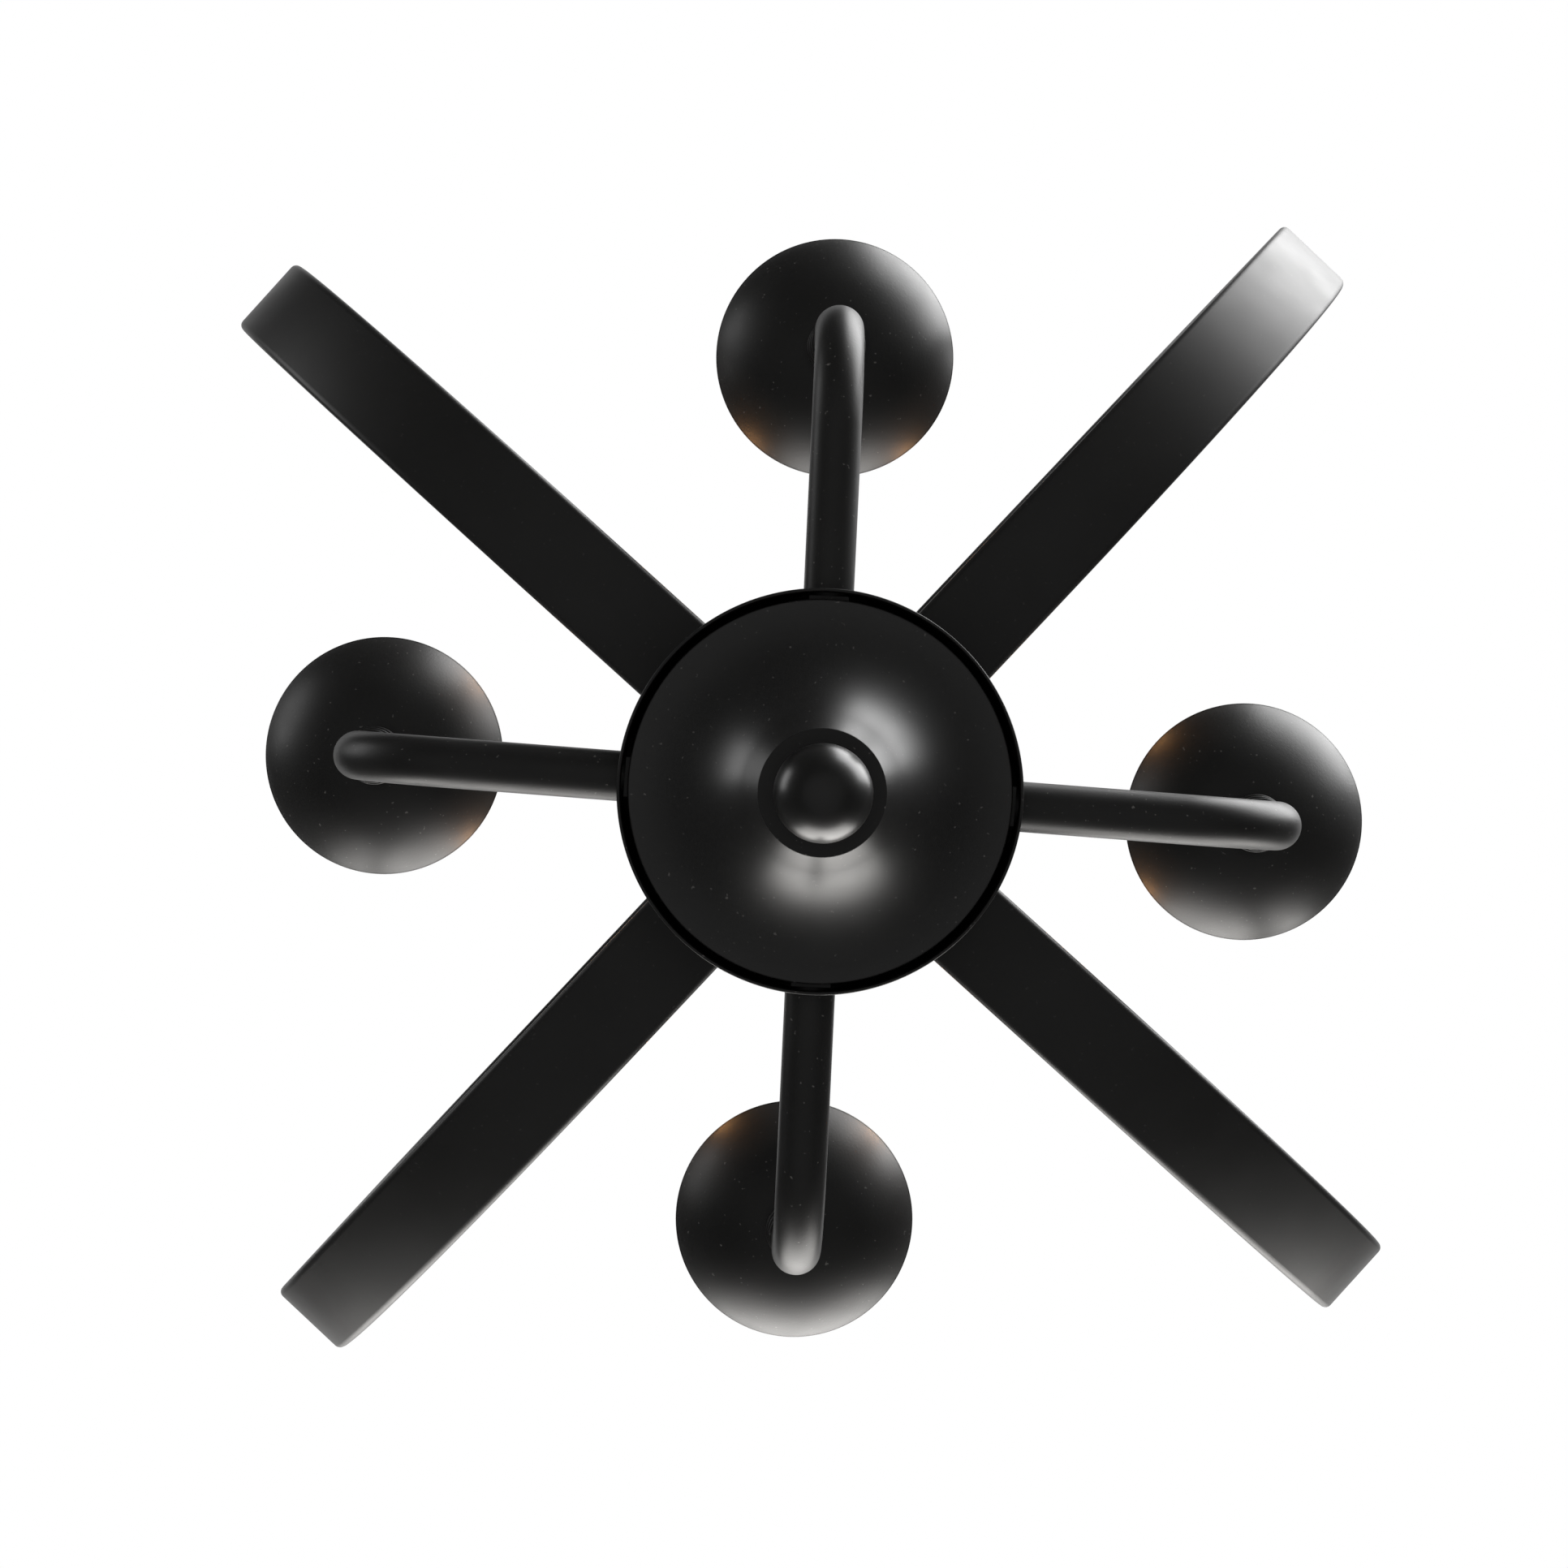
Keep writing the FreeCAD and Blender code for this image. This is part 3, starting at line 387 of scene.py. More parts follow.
def clear_glass():
    """Bulb glass with the faint ripple of blown glass."""
    material, nodes, links, shader = new_material("blown_glass")
    cloud = pattern(nodes, links, scale=40.0, detail=2.0)
    tint = mixed(nodes, links, cloud, dark=(1.0, 0.97, 0.92), light=(1.0, 0.985, 0.95))
    links.new(tint, shader.inputs["Base Color"])
    grain(nodes, links, shader, scale=60.0, detail=2.0, depth=0.01)
    shader.inputs["Roughness"].default_value = 0.02
    shader.inputs["IOR"].default_value = 1.45
    shader.inputs["Transmission Weight"].default_value = 1.0
    return material


def lit_filament():
    """Warm light from phosphor-coated sticks, slightly uneven along them."""
    material, nodes, links, shader = new_material("lit_filament")
    cloud = pattern(nodes, links, scale=500.0, detail=2.0)
    warmth = mixed(nodes, links, cloud, dark=(1.0, 0.36, 0.08), light=(1.0, 0.46, 0.14))
    links.new(warmth, shader.inputs["Emission Color"])
    shader.inputs["Base Color"].default_value = (0.9, 0.6, 0.2, 1)
    shader.inputs["Emission Strength"].default_value = FILAMENT_STRENGTH
    return material


coat = satin_black()
flat_coat = bar_black()
spun_coat = spun_black()
gloss_coat = smooth_black()
zinc_plate = zinc()
phenolic = black_phenolic()
ivory = ivory_nylon()
green_paint = green_screw_paint()
nickel_plate = nickel()
glass = clear_glass()
glow = lit_filament()


# Cage

BAR_WIDTH = 25.0
BAR_THICKNESS = 4.0
BAR_EDGE = 1.9
BAR_INNER_END = 24.0
BAR_REACH = 219.5
BAR_BEND = 139.5
BAR_BEND_STEPS = 48
PLATE_RADIUS = 45.0
PLATE_THICKNESS = 4.0
PLATE_EDGE = 1.0
SCREW_RADIUS = 2.5
SCREW_LENGTH = 7.9
SCREW_POINT_EDGE = 0.4
SCREW_HEAD_RADIUS = 4.6
SCREW_HEAD_HEIGHT = 2.8
SCREW_HEAD_SIDE = 0.98
SCREW_HEAD_EDGE = 0.2
SCREW_CROWN_CENTRE = 3.903
KEY_RADIUS = 1.75
KEY_LENGTH = 3.2
COLUMN_RADIUS = 8.0
COLUMN_BORE = 6.5


def only_edges(made):
    """The edges among what a spin or an extrusion leaves."""
    return [item for item in made if isinstance(item, bmesh.types.BMEdge)]


def run_straight(mesh, ring, dx, dz):
    """Carry a ring of edges straight on."""
    made = bmesh.ops.extrude_edge_only(mesh, edges=ring)["geom"]
    corners = [item for item in made if isinstance(item, bmesh.types.BMVert)]
    bmesh.ops.translate(mesh, vec=spot(dx, dz), verts=corners)
    return [edge for edge in only_edges(made) if all(corner in corners for corner in edge.verts)]


def run_bend(mesh, ring, radius, height, steps):
    """Carry a ring of edges a quarter round a centre in the XZ plane."""
    made = bmesh.ops.spin(mesh, geom=ring, cent=spot(radius, height), axis=(0, 1, 0), dvec=(0, 0, 0),
                          angle=math.radians(-90), steps=steps, use_duplicate=False)["geom_last"]
    return only_edges(made)


def cage_bar():
    """Flat bar with rounded edges, run level, up and back in."""
    mesh = bmesh.new()
    half_width, half = BAR_WIDTH / 2, BAR_THICKNESS / 2
    low, high = CAGE_BOTTOM + half, CAGE_TOP - half
    inside = BAR_REACH - BAR_BEND
    upright = high - low - 2 * (BAR_BEND - half)
    section = ((-half_width, -half), (half_width, -half), (half_width, half), (-half_width, half))
    corners = [mesh.verts.new(Vector((BAR_INNER_END, y, low + z)) * MM) for y, z in section]
    mesh.faces.new(corners)
    bmesh.ops.bevel(mesh, geom=corners, offset=BAR_EDGE * MM, offset_type="OFFSET", segments=CORNER_STEPS,
                    profile=0.5, affect="VERTICES", material=-1)
    ring = mesh.edges[:]
    ring = run_straight(mesh, ring, inside - BAR_INNER_END, 0)
    ring = run_bend(mesh, ring, inside, low + BAR_BEND - half, BAR_BEND_STEPS)
    ring = run_straight(mesh, ring, 0, upright)
    ring = run_bend(mesh, ring, inside, high - BAR_BEND + half, BAR_BEND_STEPS)
    ring = run_straight(mesh, ring, BAR_INNER_END - inside, 0)
    bmesh.ops.holes_fill(mesh, edges=ring)
    return finished(mesh, "bent_bar")


def clamp_plate(name, bottom):
    """Round plate with rounded edges and the pipe's hole."""
    top = bottom + PLATE_THICKNESS
    return (Outline(PIPE_HOLE, bottom)
            .line(PLATE_RADIUS, bottom, PLATE_EDGE)
            .line(PLATE_RADIUS, top, PLATE_EDGE)
            .line(PIPE_HOLE, top)
            .close()
            .turned(name, steps=128))


def socket_screw(name, seat_height):
    """Button-head screw with a hexagon socket, its head on the given height."""
    point = seat_height - SCREW_LENGTH
    crown = seat_height + SCREW_HEAD_HEIGHT
    screw = (Outline(0, point)
             .line(SCREW_RADIUS, point, SCREW_POINT_EDGE)
             .line(SCREW_RADIUS, seat_height)
             .line(SCREW_HEAD_RADIUS, seat_height, SCREW_HEAD_EDGE)
             .line(SCREW_HEAD_RADIUS, seat_height + SCREW_HEAD_SIDE)
             .arc(0, crown, (0, seat_height - SCREW_CROWN_CENTRE), steps=10)
             .turned(name, steps=48))
    return cut(screw, rod("key", KEY_RADIUS, KEY_LENGTH, (0, 0, 1), crown, sides=6))


def centre_column():
    return (Outline(COLUMN_BORE, CAGE_BOTTOM)
            .line(COLUMN_RADIUS, CAGE_BOTTOM)
            .line(COLUMN_RADIUS, CAGE_TOP)
            .line(COLUMN_BORE, CAGE_TOP)
            .close()
            .turned("column_tube", steps=64))


def make_cage():
    for number, bar in enumerate(copies(cage_bar(), 0, BAR_TURNS), start=1):
        dress(bar, HANGING, "cage_bar_" + str(number), flat_coat)
    dress(clamp_plate("top_clamp_plate", CAGE_TOP), HANGING, "top_plate", coat)
    dress(clamp_plate("bottom_clamp_plate", HOUSING_TOP), HANGING, "bottom_plate", coat)
    screw_seats = (("top", HUB_BOTTOM), ("bottom", CAGE_BOTTOM + BAR_THICKNESS))
    for end, seat_height in screw_seats:
        screws = placed(socket_screw(end + "_bar_screw_set", seat_height), BAR_SCREW_REACH, BAR_TURNS)
        dress(screws, HANGING, end + "_bar_screws", coat)
    dress(centre_column(), HANGING, "centre_column", coat)


# Cluster housing, bell cover and finial

HOUSING_RADIUS = 50.5
HOUSING_INSIDE = 49.7
HOUSING_ROOF_EDGE = 3.0
HOUSING_ROOF_INNER_EDGE = 2.2
HOUSING_RIM_EDGE = 0.4
ARM_HOLE = 6.45
DRILL_REACH = 50.0
DRILL_LENGTH = 30.0
BELL_RIM_RADIUS = 47.9
BELL_NOSE_RADIUS = 15.1
BELL_FLARE_RADIUS = 40.43
BELL_RIM_SLOPE = math.radians(9)
BELL_NECK_SLOPE = math.radians(60)
BELL_LIP = 0.5
FLANGE_RADIUS = 15.5
FINIAL_RADIUS = 11.8
FINIAL_CENTRE = FINIAL_TOP - 10.47
FINIAL_COLLAR_RADIUS = 8.0
FINIAL_COLLAR_HEIGHT = 1.8
FINIAL_BORE_DEPTH = 14.0


def housing():
    """Drum with a rounded roof edge and holes for the arms."""
    ceiling = HOUSING_TOP - SHEET_WALL
    drum = (Outline(PIPE_HOLE, HOUSING_TOP)
            .line(HOUSING_RADIUS, HOUSING_TOP, HOUSING_ROOF_EDGE)
            .line(HOUSING_RADIUS, HOUSING_BOTTOM, HOUSING_RIM_EDGE)
            .line(HOUSING_INSIDE, HOUSING_BOTTOM, EDGE_BREAK)
            .line(HOUSING_INSIDE, ceiling, HOUSING_ROOF_INNER_EDGE)
            .line(PIPE_HOLE, ceiling)
            .close()
            .turned("housing_drum", steps=192))
    drill = rod("drill", ARM_HOLE, DRILL_LENGTH, (1, 0, 0), ARM_HEIGHT, sides=48)
    return cut(drum, placed(drill, DRILL_REACH, ARM_TURNS))


def bell():
    """Trumpet flare: an arc from the rim to a straight neck, then a flat nose."""
    back_radius = BELL_FLARE_RADIUS + SHEET_WALL
    centre = (BELL_RIM_RADIUS + BELL_FLARE_RADIUS * math.sin(BELL_RIM_SLOPE),
              BELL_RIM - BELL_FLARE_RADIUS * math.cos(BELL_RIM_SLOPE))

    def on_flare(radius, slope):
        return centre[0] - radius * math.sin(slope), centre[1] + radius * math.cos(slope)

    nose_back = BELL_NOSE + SHEET_WALL
    neck_back = on_flare(back_radius, BELL_NECK_SLOPE)
    inner_nose = neck_back[0] - (neck_back[1] - nose_back) / math.tan(BELL_NECK_SLOPE)
    return (Outline(PIPE_HOLE, BELL_NOSE)
            .line(BELL_NOSE_RADIUS, BELL_NOSE)
            .line(*on_flare(BELL_FLARE_RADIUS, BELL_NECK_SLOPE))
            .arc(BELL_RIM_RADIUS, BELL_RIM, centre, steps=48, rounding=BELL_LIP)
            .line(*on_flare(back_radius, BELL_RIM_SLOPE), BELL_LIP)
            .arc(*neck_back, centre, steps=48)
            .line(inner_nose, nose_back)
            .line(PIPE_HOLE, nose_back)
            .close()
            .turned("bell_flare", steps=192))


def flange():
    """Flat ring between the finial and the bell's nose."""
    return (Outline(PIPE_HOLE, FINIAL_TOP)
            .line(FLANGE_RADIUS, FINIAL_TOP, EDGE_BREAK)
            .line(FLANGE_RADIUS, BELL_NOSE, EDGE_BREAK)
            .line(PIPE_HOLE, BELL_NOSE)
            .close()
            .turned("flange_ring", steps=128))


def ball_finial():
    """Ball on a short collar, with a blind bore for the pipe."""
    bore_end = FINIAL_TOP - FINIAL_BORE_DEPTH
    return (Outline(0, FINIAL_CENTRE - FINIAL_RADIUS)
            .arc(FINIAL_COLLAR_RADIUS, FINIAL_TOP - FINIAL_COLLAR_HEIGHT, (0, FINIAL_CENTRE), steps=48)
            .line(FINIAL_COLLAR_RADIUS, FINIAL_TOP)
            .line(PIPE_RADIUS, FINIAL_TOP)
            .line(PIPE_RADIUS, bore_end)
            .line(0, bore_end)
            .turned("finial_ball", steps=128))


def make_cluster():
    dress(housing(), HANGING, "cluster_housing", coat)
    dress(bell(), HANGING, "bell_cover", spun_coat)
    dress(flange(), HANGING, "finial_flange", coat)
    dress(ball_finial(), HANGING, "ball_finial", gloss_coat)


# Arms and cups

ARM_BORE = 5.15
ARM_INNER_END = 38.0
ARM_BEND_START = 92.0
ARM_BEND = 28.0
ARM_UPRIGHT = 28.0
ARM_BEND_STEPS = 40
COLLAR_BORE = 4.8
COLLAR_NIPPLE_DEPTH = 4.0
COLLAR_BEADS = 3
COLLAR_FIRST_RADIUS = 7.0
COLLAR_RADIUS_STEP = 0.45
COLLAR_BEAD_EDGE = 0.35
COLLAR_TOP_EDGE = 0.2
COLLAR_GROOVE_WIDTH = 0.5
COLLAR_GROOVE_DEPTH = 0.4
CUP_HOLE = 4.9
CUP_SEAT_RADIUS = 9.0
CUP_INNER_SEAT_RADIUS = 7.42
CUP_RIM = CUP_BOTTOM + 19.5
CUP_CENTRE = CUP_BOTTOM + 35.6
CUP_RIM_OUTSIDE = 33.0
CUP_RIM_MIDDLE = 32.32
CUP_RIM_INSIDE = 31.65


def arm():
    """Bent tube: an outer and an inner skin joined at both ends."""
    mesh = bmesh.new()
    skins = []
    for radius in (TUBE_RADIUS, ARM_BORE):
        level = Matrix.Rotation(math.radians(90), 4, "Y")
        place = Matrix.Translation(spot(ARM_INNER_END, ARM_HEIGHT)) @ level
        made = bmesh.ops.create_circle(mesh, segments=64, radius=radius * MM, matrix=place)["verts"]
        start = [edge for edge in mesh.edges if edge.is_wire and all(corner in made for corner in edge.verts)]
        ring = run_straight(mesh, start, ARM_BEND_START - ARM_INNER_END, 0)
        ring = run_bend(mesh, ring, ARM_BEND_START, ARM_HEIGHT + ARM_BEND, ARM_BEND_STEPS)
        ring = run_straight(mesh, ring, 0, ARM_UPRIGHT)
        skins.append((start, ring))
    for outer, inner in zip(*skins):
        bmesh.ops.bridge_loops(mesh, edges=outer + inner)
    return finished(mesh, "arm_tube")


def collar():
    """Ferrule of three rounded beads that widen towards the cup."""
    tube_end = CUP_BOTTOM - COLLAR_NIPPLE_DEPTH
    pen = (Outline(COLLAR_BORE, CUP_BOTTOM)
           .line(COLLAR_BORE, tube_end)
           .line(TUBE_RADIUS, tube_end)
           .line(TUBE_RADIUS, COLLAR_BOTTOM))
    bead_height = (CUP_BOTTOM - COLLAR_BOTTOM) / COLLAR_BEADS
    for bead in range(COLLAR_BEADS):
        low = COLLAR_BOTTOM + bead_height * bead
        high = low + bead_height
        radius = COLLAR_FIRST_RADIUS + COLLAR_RADIUS_STEP * bead
        pen.line(radius, low, COLLAR_BEAD_EDGE)
        pen.line(radius, high - COLLAR_GROOVE_WIDTH, COLLAR_BEAD_EDGE)
        if bead < COLLAR_BEADS - 1:
            pen.line(radius - COLLAR_GROOVE_DEPTH, high - COLLAR_GROOVE_WIDTH)
            pen.line(radius - COLLAR_GROOVE_DEPTH, high)
    return pen.line(radius, CUP_BOTTOM, COLLAR_TOP_EDGE).close().turned("ringed_collar", steps=96)


def cup():
    """Bowl with a flat seat and a rounded rim."""
    floor_top = CUP_BOTTOM + SHEET_WALL
    return (Outline(CUP_HOLE, CUP_BOTTOM)
            .line(CUP_SEAT_RADIUS, CUP_BOTTOM)
            .arc(CUP_RIM_OUTSIDE, CUP_RIM, (0, CUP_CENTRE), steps=32)
            .arc(CUP_RIM_INSIDE, CUP_RIM, (CUP_RIM_MIDDLE, CUP_RIM), steps=8)
            .arc(CUP_INNER_SEAT_RADIUS, floor_top, (0, CUP_CENTRE), steps=32)
            .line(CUP_HOLE, floor_top)
            .close()
            .turned("bowl_cup", steps=144))


# Candles

SLEEVE_RADIUS = 12.0
SLEEVE_BORE = 11.2
SLEEVE_HEIGHT = 63.0
SLEEVE_EDGE = 0.35
GLASS_NECK_RADIUS = 6.6
GLASS_WALL = 0.8
GLASS_SHARP_ANGLE = 80
GLASS_SMOOTHING = 2
DISC_RADIUS = 5.3
DISC_THICKNESS = 1.0
LOW_DISC = GLASS_BOTTOM + 20
HIGH_DISC = GLASS_BOTTOM + 51
STICK_COUNT = 4
STICK_RADIUS = 0.7
STICK_REACH = 4.0
STAND_FOOT_RADIUS = 3.4
STAND_FOOT_HEIGHT = 5.0
STAND_FOOT_EDGE = 0.8
STAND_RADIUS = 2.0
STAND_WIRE_RADIUS = 0.6

# The bulb's outline above its neck: radius and height, up to the tip
GLASS_OUTLINE = ((7.0, 3), (10.2, 9), (14.6, 17), (16.7, 25), (17.0, 30), (16.0, 38), (13.4, 47),
                 (10.0, 56), (6.7, 64), (4.2, 70.5), (2.4, 75.2), (1.1, 77.5), (0, 78))


def sleeve():
    top = SLEEVE_BOTTOM + SLEEVE_HEIGHT
    return (Outline(SLEEVE_BORE, SLEEVE_BOTTOM)
            .line(SLEEVE_RADIUS, SLEEVE_BOTTOM)
            .line(SLEEVE_RADIUS, top, SLEEVE_EDGE)
            .line(SLEEVE_BORE, top, SLEEVE_EDGE)
            .close()
            .turned("sleeve_tube", steps=72))


def bulb():
    """Candle-shaped glass with an open neck: the inner skin follows the outer at a wall's width."""
    pen = Outline(GLASS_NECK_RADIUS, GLASS_BOTTOM)
    for radius, height in GLASS_OUTLINE:
        pen.line(radius, GLASS_BOTTOM + height)
    piece = pen.turned("candle_glass", steps=32, sharp=GLASS_SHARP_ANGLE)
    wall = piece.modifiers.new("wall", "SOLIDIFY")
    wall.thickness = GLASS_WALL * MM
    wall.offset = -1
    smooth = piece.modifiers.new("smooth", "SUBSURF")
    smooth.levels = GLASS_SMOOTHING
    smooth.render_levels = GLASS_SMOOTHING
    shape = applied(piece)
    piece.modifiers.clear()
    piece.data = shape
    return piece


def filaments():
    """Upright lit sticks between two discs."""
    mesh = bmesh.new()
    foot = LOW_DISC + DISC_THICKNESS
    for stick in range(STICK_COUNT):
        place = (Matrix.Rotation(math.tau * stick / STICK_COUNT, 4, "Z")
                 @ Matrix.Translation(spot(STICK_REACH, (foot + HIGH_DISC) / 2)))
        bmesh.ops.create_cone(mesh, cap_ends=True, segments=16, radius1=STICK_RADIUS * MM,
                              radius2=STICK_RADIUS * MM, depth=(HIGH_DISC - foot) * MM, matrix=place)
    return finished(mesh, "filament_sticks")


def filament_stand():
    """Stem and the two discs that carry the sticks."""
    foot = LOW_DISC + DISC_THICKNESS
    top = HIGH_DISC + DISC_THICKNESS
    return (Outline(0, GLASS_BOTTOM)
            .line(STAND_FOOT_RADIUS, GLASS_BOTTOM, STAND_FOOT_EDGE)
            .line(STAND_RADIUS, GLASS_BOTTOM + STAND_FOOT_HEIGHT)
            .line(STAND_RADIUS, LOW_DISC)
            .line(DISC_RADIUS, LOW_DISC, EDGE_BREAK)
            .line(DISC_RADIUS, foot, EDGE_BREAK)
            .line(STAND_WIRE_RADIUS, foot)
            .line(STAND_WIRE_RADIUS, HIGH_DISC)
            .line(DISC_RADIUS, HIGH_DISC, EDGE_BREAK)
            .line(DISC_RADIUS, top, EDGE_BREAK)
            .line(0, top)
            .turned("filament_stand", steps=32))


def dressed_copies(piece, reach, node, material):
    """A piece on each arm, numbered like its nodes."""
    made = copies(piece, reach, ARM_TURNS)
    for number, copy in enumerate(made, start=1):
        dress(copy, HANGING, node + "_" + str(number), material)
    return made


def make_arms():
    """Arms with all that they carry; gives back the cups."""
    dressed_copies(arm(), 0, "arm", coat)
    cups = dressed_copies(cup(), ARM_REACH, "cup", coat)
    dressed_copies(sleeve(), ARM_REACH, "candle_sleeve", coat)
    for clear in dressed_copies(bulb(), ARM_REACH, "bulb_glass", glass):
        # Clear glass neither shades nor bends the filaments' light on the neighbouring pieces
        clear.visible_shadow = False
        clear.visible_diffuse = False
        clear.visible_glossy = False
    dress(placed(collar(), ARM_REACH, ARM_TURNS), HANGING, "arm_collars", coat)
    dress(placed(filaments(), ARM_REACH, ARM_TURNS), HANGING, "bulb_filaments", glow)
    dress(placed(filament_stand(), ARM_REACH, ARM_TURNS), HANGING, "bulb_filaments", ivory)
    return cups


# Suspension and ceiling parts

HUB_FOOT_RADIUS = 18.0
HUB_FOOT_HEIGHT = 5.0
HUB_FOOT_LOW_EDGE = 0.6
HUB_FOOT_HIGH_EDGE = 0.8
HUB_NECK_RADIUS = 9.5
HUB_NECK_EDGE = 0.6
HUB_FLARE_HEIGHT = 12.0
HUB_PIPE_DEPTH = 12.0
HUB_STEM_DEPTH = 14.0
COUPLER_RADIUS = 8.2
COUPLER_LENGTH = 26.0
COUPLER_EDGE = 1.2
BALL_RADIUS = 12.0
BALL_NECK_RADIUS = 4.5
SHANK_RADIUS = 4.95
SHANK_LENGTH = 12.0
SHANK_EDGE = 0.4
SEAT_BOWL_RADIUS = 12.3
SEAT_LIP_RADIUS = 9.5
SEAT_LIP_HEIGHT = 1.0
SEAT_LIP_FLARE = 1.0
SEAT_LIP_EDGE = 0.8
SEAT_RADIUS = 16.7
SEAT_FLANGE_RADIUS = 22.0
SEAT_FLANGE_HEIGHT = 2.5
SEAT_EDGE = 0.5
SEAT_RISE = 7.0
PIN_SLOT_LENGTH = 30.7
PIN_SLOT_WIDTH = 3.2
PIN_SLOT_HEIGHT = 14.73
PIN_SLOT_DROP = 6.73
CANOPY_RADIUS = 63.5
CANOPY_INSIDE = 62.3
CANOPY_HOLE = 16.9
CANOPY_EDGE = 9.0
CANOPY_INNER_EDGE = 7.8
CAP_NUT_RADIUS = 4.6
CAP_NUT_SKIRT = 4.0
STUD_RADIUS = 2.0
STUD_DEPTH = 6.0

# The hub's hollowed flare, from foot to neck: radius and height above the foot
HUB_FLARE = ((15.4, 0.9), (12.9, 2.8), (11, 5.6), (9.9, 8.8))


def hub():
    """Turned foot with a hollowed flare up to its neck."""
    foot = HUB_BOTTOM + HUB_FOOT_HEIGHT
    stem_end = HUB_TOP - HUB_STEM_DEPTH
    pipe_end = HUB_BOTTOM + HUB_PIPE_DEPTH
    pen = (Outline(PIPE_RADIUS, HUB_BOTTOM)
           .line(HUB_FOOT_RADIUS, HUB_BOTTOM, HUB_FOOT_LOW_EDGE)
           .line(HUB_FOOT_RADIUS, foot, HUB_FOOT_HIGH_EDGE))
    for radius, height in HUB_FLARE:
        pen.line(radius, foot + height)
    return (pen
            .line(HUB_NECK_RADIUS, foot + HUB_FLARE_HEIGHT)
            .line(HUB_NECK_RADIUS, HUB_TOP, HUB_NECK_EDGE)
            .line(TUBE_RADIUS, HUB_TOP, EDGE_BREAK)
            .line(TUBE_RADIUS, stem_end)
            .line(WIRE_BORE, stem_end)
            .line(WIRE_BORE, pipe_end)
            .line(PIPE_RADIUS, pipe_end)
            .close()
            .turned("hub_foot", steps=96))


def stem(name, bottom, top):
    return (Outline(STEM_BORE, bottom)
            .line(TUBE_RADIUS, bottom, EDGE_BREAK)
            .line(TUBE_RADIUS, top, EDGE_BREAK)
            .line(STEM_BORE, top)
            .close()
            .turned(name, steps=64))


def coupler():
    """Sleeve over both stems' ends, with a thin web between them."""
    middle = (SHORT_STEM_BOTTOM + LONG_STEM_TOP) / 2
    low = middle - COUPLER_LENGTH / 2
    high = middle + COUPLER_LENGTH / 2
    return (Outline(TUBE_RADIUS, low)
            .line(COUPLER_RADIUS, low, COUPLER_EDGE)
            .line(COUPLER_RADIUS, high, COUPLER_EDGE)
            .line(TUBE_RADIUS, high)
            .line(TUBE_RADIUS, SHORT_STEM_BOTTOM)
            .line(WIRE_BORE, SHORT_STEM_BOTTOM)
            .line(WIRE_BORE, LONG_STEM_TOP)
            .line(TUBE_RADIUS, LONG_STEM_TOP)
            .close()
            .turned("coupler_sleeve", steps=72))


def ball_and_shank():
    """Swivel ball, its neck and the shank that screws into the stem."""
    shank_end = SHORT_STEM_TOP - SHANK_LENGTH
    low = BALL_HEIGHT - math.sqrt(BALL_RADIUS ** 2 - BALL_NECK_RADIUS ** 2)
    high = BALL_HEIGHT + math.sqrt(BALL_RADIUS ** 2 - WIRE_BORE ** 2)
    return (Outline(WIRE_BORE, shank_end)
            .line(SHANK_RADIUS, shank_end, SHANK_EDGE)
            .line(SHANK_RADIUS, SHORT_STEM_TOP)
            .line(BALL_NECK_RADIUS, SHORT_STEM_TOP)
            .line(BALL_NECK_RADIUS, low)
            .arc(WIRE_BORE, high, (0, BALL_HEIGHT), steps=40)
            .close()
            .turned("ball_and_shank", steps=72))


def pin_slots():
    """Block that cuts both slots for the ends of the cross pin."""
    mesh = bmesh.new()
    size = Matrix.Diagonal((PIN_SLOT_LENGTH * MM, PIN_SLOT_WIDTH * MM, PIN_SLOT_HEIGHT * MM, 1))
    bmesh.ops.create_cube(mesh, size=1, matrix=size)
    middle = BALL_HEIGHT - PIN_SLOT_DROP + PIN_SLOT_HEIGHT / 2
    bmesh.ops.translate(mesh, vec=spot(0, middle), verts=mesh.verts)
    return finished(mesh, "slot_cutter")


def seat():
    """Swivel seat: boss through the canopy, flange on its floor and a bowl for the ball."""
    lip = BALL_HEIGHT - math.sqrt(SEAT_BOWL_RADIUS ** 2 - SEAT_LIP_RADIUS ** 2)
    bottom = lip - SEAT_LIP_HEIGHT
    flange_top = CANOPY_FLOOR + SEAT_FLANGE_HEIGHT
    top = BALL_HEIGHT + SEAT_RISE
    ring = (Outline(SEAT_LIP_RADIUS + SEAT_LIP_FLARE, bottom)
            .line(SEAT_RADIUS, bottom, SEAT_LIP_EDGE)
            .line(SEAT_RADIUS, CANOPY_FLOOR)
            .line(SEAT_FLANGE_RADIUS, CANOPY_FLOOR)
            .line(SEAT_FLANGE_RADIUS, flange_top, SEAT_EDGE)
            .line(SEAT_RADIUS, flange_top)
            .line(SEAT_RADIUS, top, SEAT_EDGE)
            .line(SEAT_BOWL_RADIUS, top)
            .line(SEAT_BOWL_RADIUS, BALL_HEIGHT)
            .arc(SEAT_LIP_RADIUS, lip, (0, BALL_HEIGHT), steps=16)
            .close()
            .turned("seat_ring", steps=96))
    return cut(ring, pin_slots())


def canopy():
    """Spun pan with a rounded edge, open at the ceiling."""
    return (Outline(CANOPY_HOLE, CANOPY_BOTTOM)
            .line(CANOPY_RADIUS, CANOPY_BOTTOM, CANOPY_EDGE)
            .line(CANOPY_RADIUS, 0, EDGE_BREAK)
            .line(CANOPY_INSIDE, 0, EDGE_BREAK)
            .line(CANOPY_INSIDE, CANOPY_FLOOR, CANOPY_INNER_EDGE)
            .line(CANOPY_HOLE, CANOPY_FLOOR)
            .close()
            .turned("canopy_pan", steps=160))


